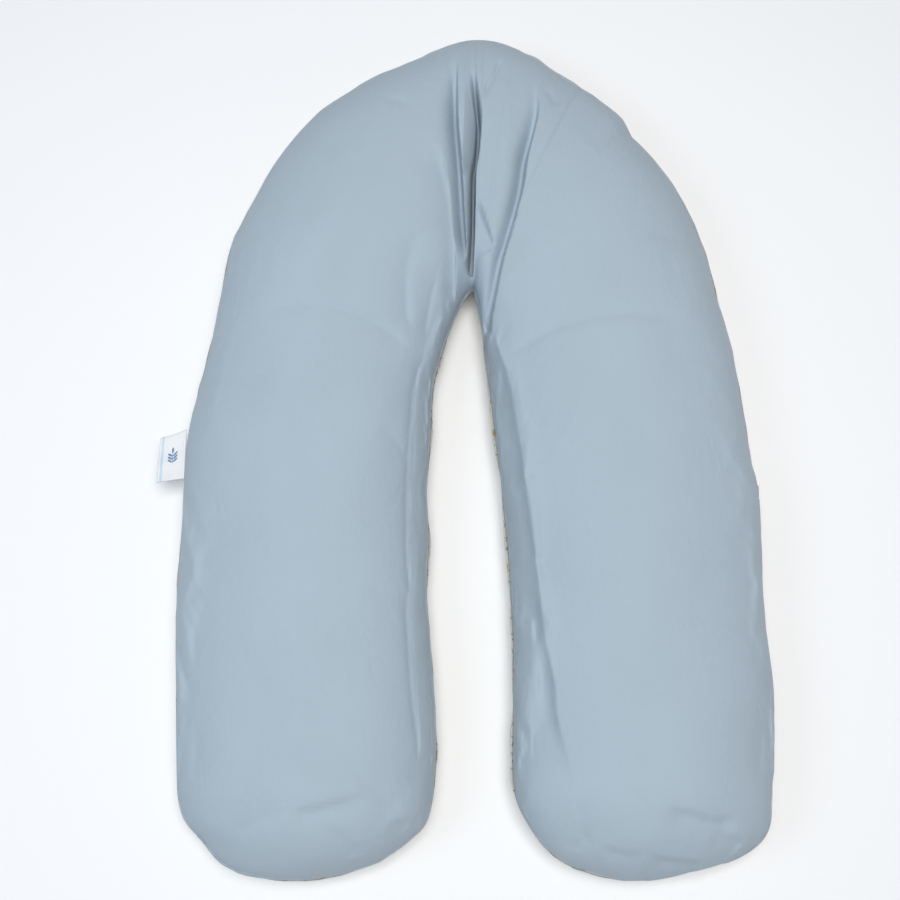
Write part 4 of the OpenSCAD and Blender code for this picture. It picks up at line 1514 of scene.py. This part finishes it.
class PILLOW_OT_labels(bpy.types.Operator):
    """Build the woven side label with its stitches, and the care label inside the cover"""

    bl_idname = "pillow.labels"
    bl_label = "Labels"

    def execute(self, context):
        curl = context.scene.pillow_trim.label_curl
        label = self.ribbon(curl)
        finish_piece(label, ribbon_satin("label_satin"), "label", "woven_label")
        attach(label, "label")
        stitches = self.stitches()
        finish_piece(stitches, thread("label_thread", (0.80, 0.82, 0.84)), "thread", "label_stitches")
        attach(stitches, "label")
        care = self.care_label()
        taffeta = fabric("care_taffeta", (0.85, 0.85, 0.83), 0.0003, slub=0.1, crumple=0.0006, pull=0)
        finish_piece(care, taffeta, "label", "care_label")
        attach(care, "right_half")
        return {"FINISHED"}

    def ribbon(self, curl):
        """A ribbon folded at its outer edge: its upper ply runs out, turns and comes back below."""
        low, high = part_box("woven_label")
        skew_room, margin = 0.0048, 0.0006
        reach, width = high.x - low.x - skew_room, LABEL_CUT[0]
        top = high.y - margin
        fold, gap = 0.0016, 0.00085
        steps = 34
        turn = np.linspace(0.2, math.pi - 0.2, 7)
        out = np.concatenate([
            np.linspace(0, 1, steps), 1 + fold / reach * np.sin(turn), np.linspace(1, 0, steps),
        ])
        ply = np.concatenate([np.full(steps, 0.5), np.cos(turn) / 2, np.full(steps, -0.5)])
        v = np.linspace(0, 1, 42)
        u, side = out[:, None], v[None, :]
        skew = 0.0105 * u**1.15 * (1 - 0.2 * side)
        trim_edge = 0.0012 * np.sin(side * 9.0 + 0.8) * u * side
        x = high.x - margin - reach * u * (0.955 + 0.045 * side) - 0.0008 * np.sin(math.pi * side) * u
        y = top - skew - width * side * (1 - 0.06 * u) + trim_edge - 0.0016 * np.sin(math.pi * u) * (1 - side)
        wave = 0.0011 * np.sin(5.2 * side + 3.0 * u) * u + 0.0004 * np.sin(13 * side) * u
        z = (low.z + high.z) / 2 + ply[:, None] * gap + curl * u**2 * (0.35 + 0.65 * side) * 0.5 + wave
        grid = np.stack(np.broadcast_arrays(x, y, z), axis=-1)
        obj = sheet_of_cloth("woven_label_ribbon", grid, 0.0003, FRONT)
        place = np.stack(np.broadcast_arrays(u, side, ply[:, None] + 0 * side), axis=-1).reshape(-1, 3)
        store_cloth(obj, np.concatenate([place, place]), "label")
        return obj

    def stitches(self):
        """A short row of straight stitches that closes the ribbon beside the seam."""
        low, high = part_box("label_stitches")
        x, z = (low.x + high.x) / 2, high.z
        count = 12
        step = (high.y - low.y) / count
        profile = ((0, -0.0005), (0.12, 0.0001), (0.4, 0.00025), (0.62, 0.0001), (0.74, -0.0005))
        paths = []
        for n in range(count):
            y = high.y - (n + 0.1) * step
            paths.append([(x, y - share * step, z + rise) for share, rise in profile])
        return threads("label_stitches_sewn", paths, 0.00024)

    def care_label(self):
        """A small tape, folded in half, that hangs from the inner seam."""
        low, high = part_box("care_label")
        steps = 12
        turn = np.linspace(0.3, math.pi - 0.3, 5)
        down = np.concatenate([np.linspace(0, 1, steps), 1 + 0.03 * np.sin(turn), np.linspace(1, 0, steps)])
        ply = np.concatenate([np.full(steps, 0.5), np.cos(turn) / 2, np.full(steps, -0.5)])
        y, w = np.meshgrid(np.linspace(low.y, high.y, 30), down, indexing="ij")
        x = (low.x + high.x) / 2 + 0.0006 * ply[None, :] + 0.0004 * np.sin(y * 260) * w**2
        z = high.z + (low.z - high.z) * w
        return sheet_of_cloth("care_label_tape", np.stack([x, y, z], axis=-1), 0.0002, BACK)


TARGET = (-0.011, -0.024, 0.06)
FLOOR_HALF = 6
# Name, place, size, share of the key power and colour of each light.
LIGHTS = (
    ("overhead", (0.1, -0.2, 3.2), 1.3, 1.0, (1.0, 0.985, 0.95)),
    ("left_fill", (-1.9, -0.5, 2.6), 1.2, 0.2, (0.62, 0.82, 1.0)),
)
SKY_COLOUR = (0.93, 0.95, 1.0, 1.0)
SKY_STRENGTH = 0.3


class PILLOW_OT_stage(bpy.types.Operator):
    """Build the floor, the lights and the camera"""

    bl_idname = "pillow.stage"
    bl_label = "Stage"

    def execute(self, context):
        scene = context.scene
        stage = scene.pillow_stage
        target = Vector(TARGET)
        camera = bpy.data.objects.new("camera", bpy.data.cameras.new("camera"))
        scene.collection.objects.link(camera)
        back = Vector((0, -math.cos(stage.elevation), math.sin(stage.elevation)))
        camera.location = target + back * stage.distance
        camera.rotation_euler = (-back).to_track_quat("-Z", "Y").to_euler()
        camera.data.lens = stage.lens
        camera.data.sensor_width = 36
        scene.camera = camera
        scene.view_settings.view_transform = "Standard"
        corners = [(x * FLOOR_HALF, y * FLOOR_HALF, 0) for x, y in ((-1, -1), (1, -1), (1, 1), (-1, 1))]
        floor = mesh_object("floor", corners, [(0, 1, 2, 3)], smooth=False)

        def tree(nodes, links, shader):
            place = node(nodes, "ShaderNodeTexCoord").outputs["Object"]
            cloudy = node(nodes, "ShaderNodeTexNoise", {"Vector": place, "Scale": 2.0, "Detail": 3.0})
            shade = maths(nodes, "MULTIPLY_ADD", cloudy.outputs["Fac"], 0.02, 0.98)
            links.new(tinted(nodes, (0.92, 0.93, 0.95), shade), shader.inputs["Base Color"])

        floor.data.materials.append(material("pale_floor", tree, Roughness=0.9))
        for name, place, size, share, colour in LIGHTS:
            self.add_light(name, place, size, stage.key_power * share, colour)
        world = bpy.data.worlds.new("studio")
        scene.world = world
        world.use_nodes = True
        sky = next(n for n in world.node_tree.nodes if n.type == "BACKGROUND")
        sky.inputs["Color"].default_value = SKY_COLOUR
        sky.inputs["Strength"].default_value = SKY_STRENGTH
        return {"FINISHED"}

    def add_light(self, name, place, size, power, colour):
        """A square area light that points at the middle of the floor."""
        data = bpy.data.lights.new(name, "AREA")
        data.energy = power
        data.size = size
        data.color = colour
        light = bpy.data.objects.new(name, data)
        bpy.context.scene.collection.objects.link(light)
        light.location = place
        light.rotation_euler = (-Vector(place)).to_track_quat("-Z", "Y").to_euler()


class PILLOW_PT_sidebar(bpy.types.Panel):
    """The pillow's sizes and its building steps"""

    bl_idname = "PILLOW_PT_sidebar"
    bl_label = "Nursing pillow"
    bl_space_type = "VIEW_3D"
    bl_region_type = "UI"
    bl_category = "Pillow"

    def draw(self, context):
        layout = self.layout
        scene = context.scene
        for group in (scene.pillow_shape, scene.pillow_cloth, scene.pillow_trim, scene.pillow_stage):
            box = layout.box()
            box.use_property_split = True
            for key in group.__annotations__:
                box.prop(group, key)
        for operator in OPERATORS:
            layout.operator(operator.bl_idname)


OPERATORS = (
    PILLOW_OT_stage,
    PILLOW_OT_cover,
    PILLOW_OT_cover_seam,
    PILLOW_OT_inner_cushion,
    PILLOW_OT_zip,
    PILLOW_OT_slider,
    PILLOW_OT_labels,
)
CLASSES = (
    PillowShape,
    PillowCloth,
    PillowTrim,
    PillowStage,
    *OPERATORS,
    PILLOW_PT_sidebar,
)


def register():
    """Adds the classes and the scene's settings."""
    for cls in CLASSES:
        bpy.utils.register_class(cls)
    bpy.types.Scene.pillow_shape = PointerProperty(type=PillowShape)
    bpy.types.Scene.pillow_cloth = PointerProperty(type=PillowCloth)
    bpy.types.Scene.pillow_trim = PointerProperty(type=PillowTrim)
    bpy.types.Scene.pillow_stage = PointerProperty(type=PillowStage)


def unregister():
    """Takes the scene's settings and the classes away again."""
    for name in ("pillow_stage", "pillow_trim", "pillow_cloth", "pillow_shape"):
        delattr(bpy.types.Scene, name)
    for cls in reversed(CLASSES):
        bpy.utils.unregister_class(cls)


def main():
    """Builds the whole pillow."""
    register()
    bpy.ops.pillow.stage()
    bpy.ops.pillow.cover()
    bpy.ops.pillow.cover_seam()
    bpy.ops.pillow.inner_cushion()
    bpy.ops.pillow.zip()
    bpy.ops.pillow.slider()
    bpy.ops.pillow.labels()


if __name__ == "__main__":
    main()
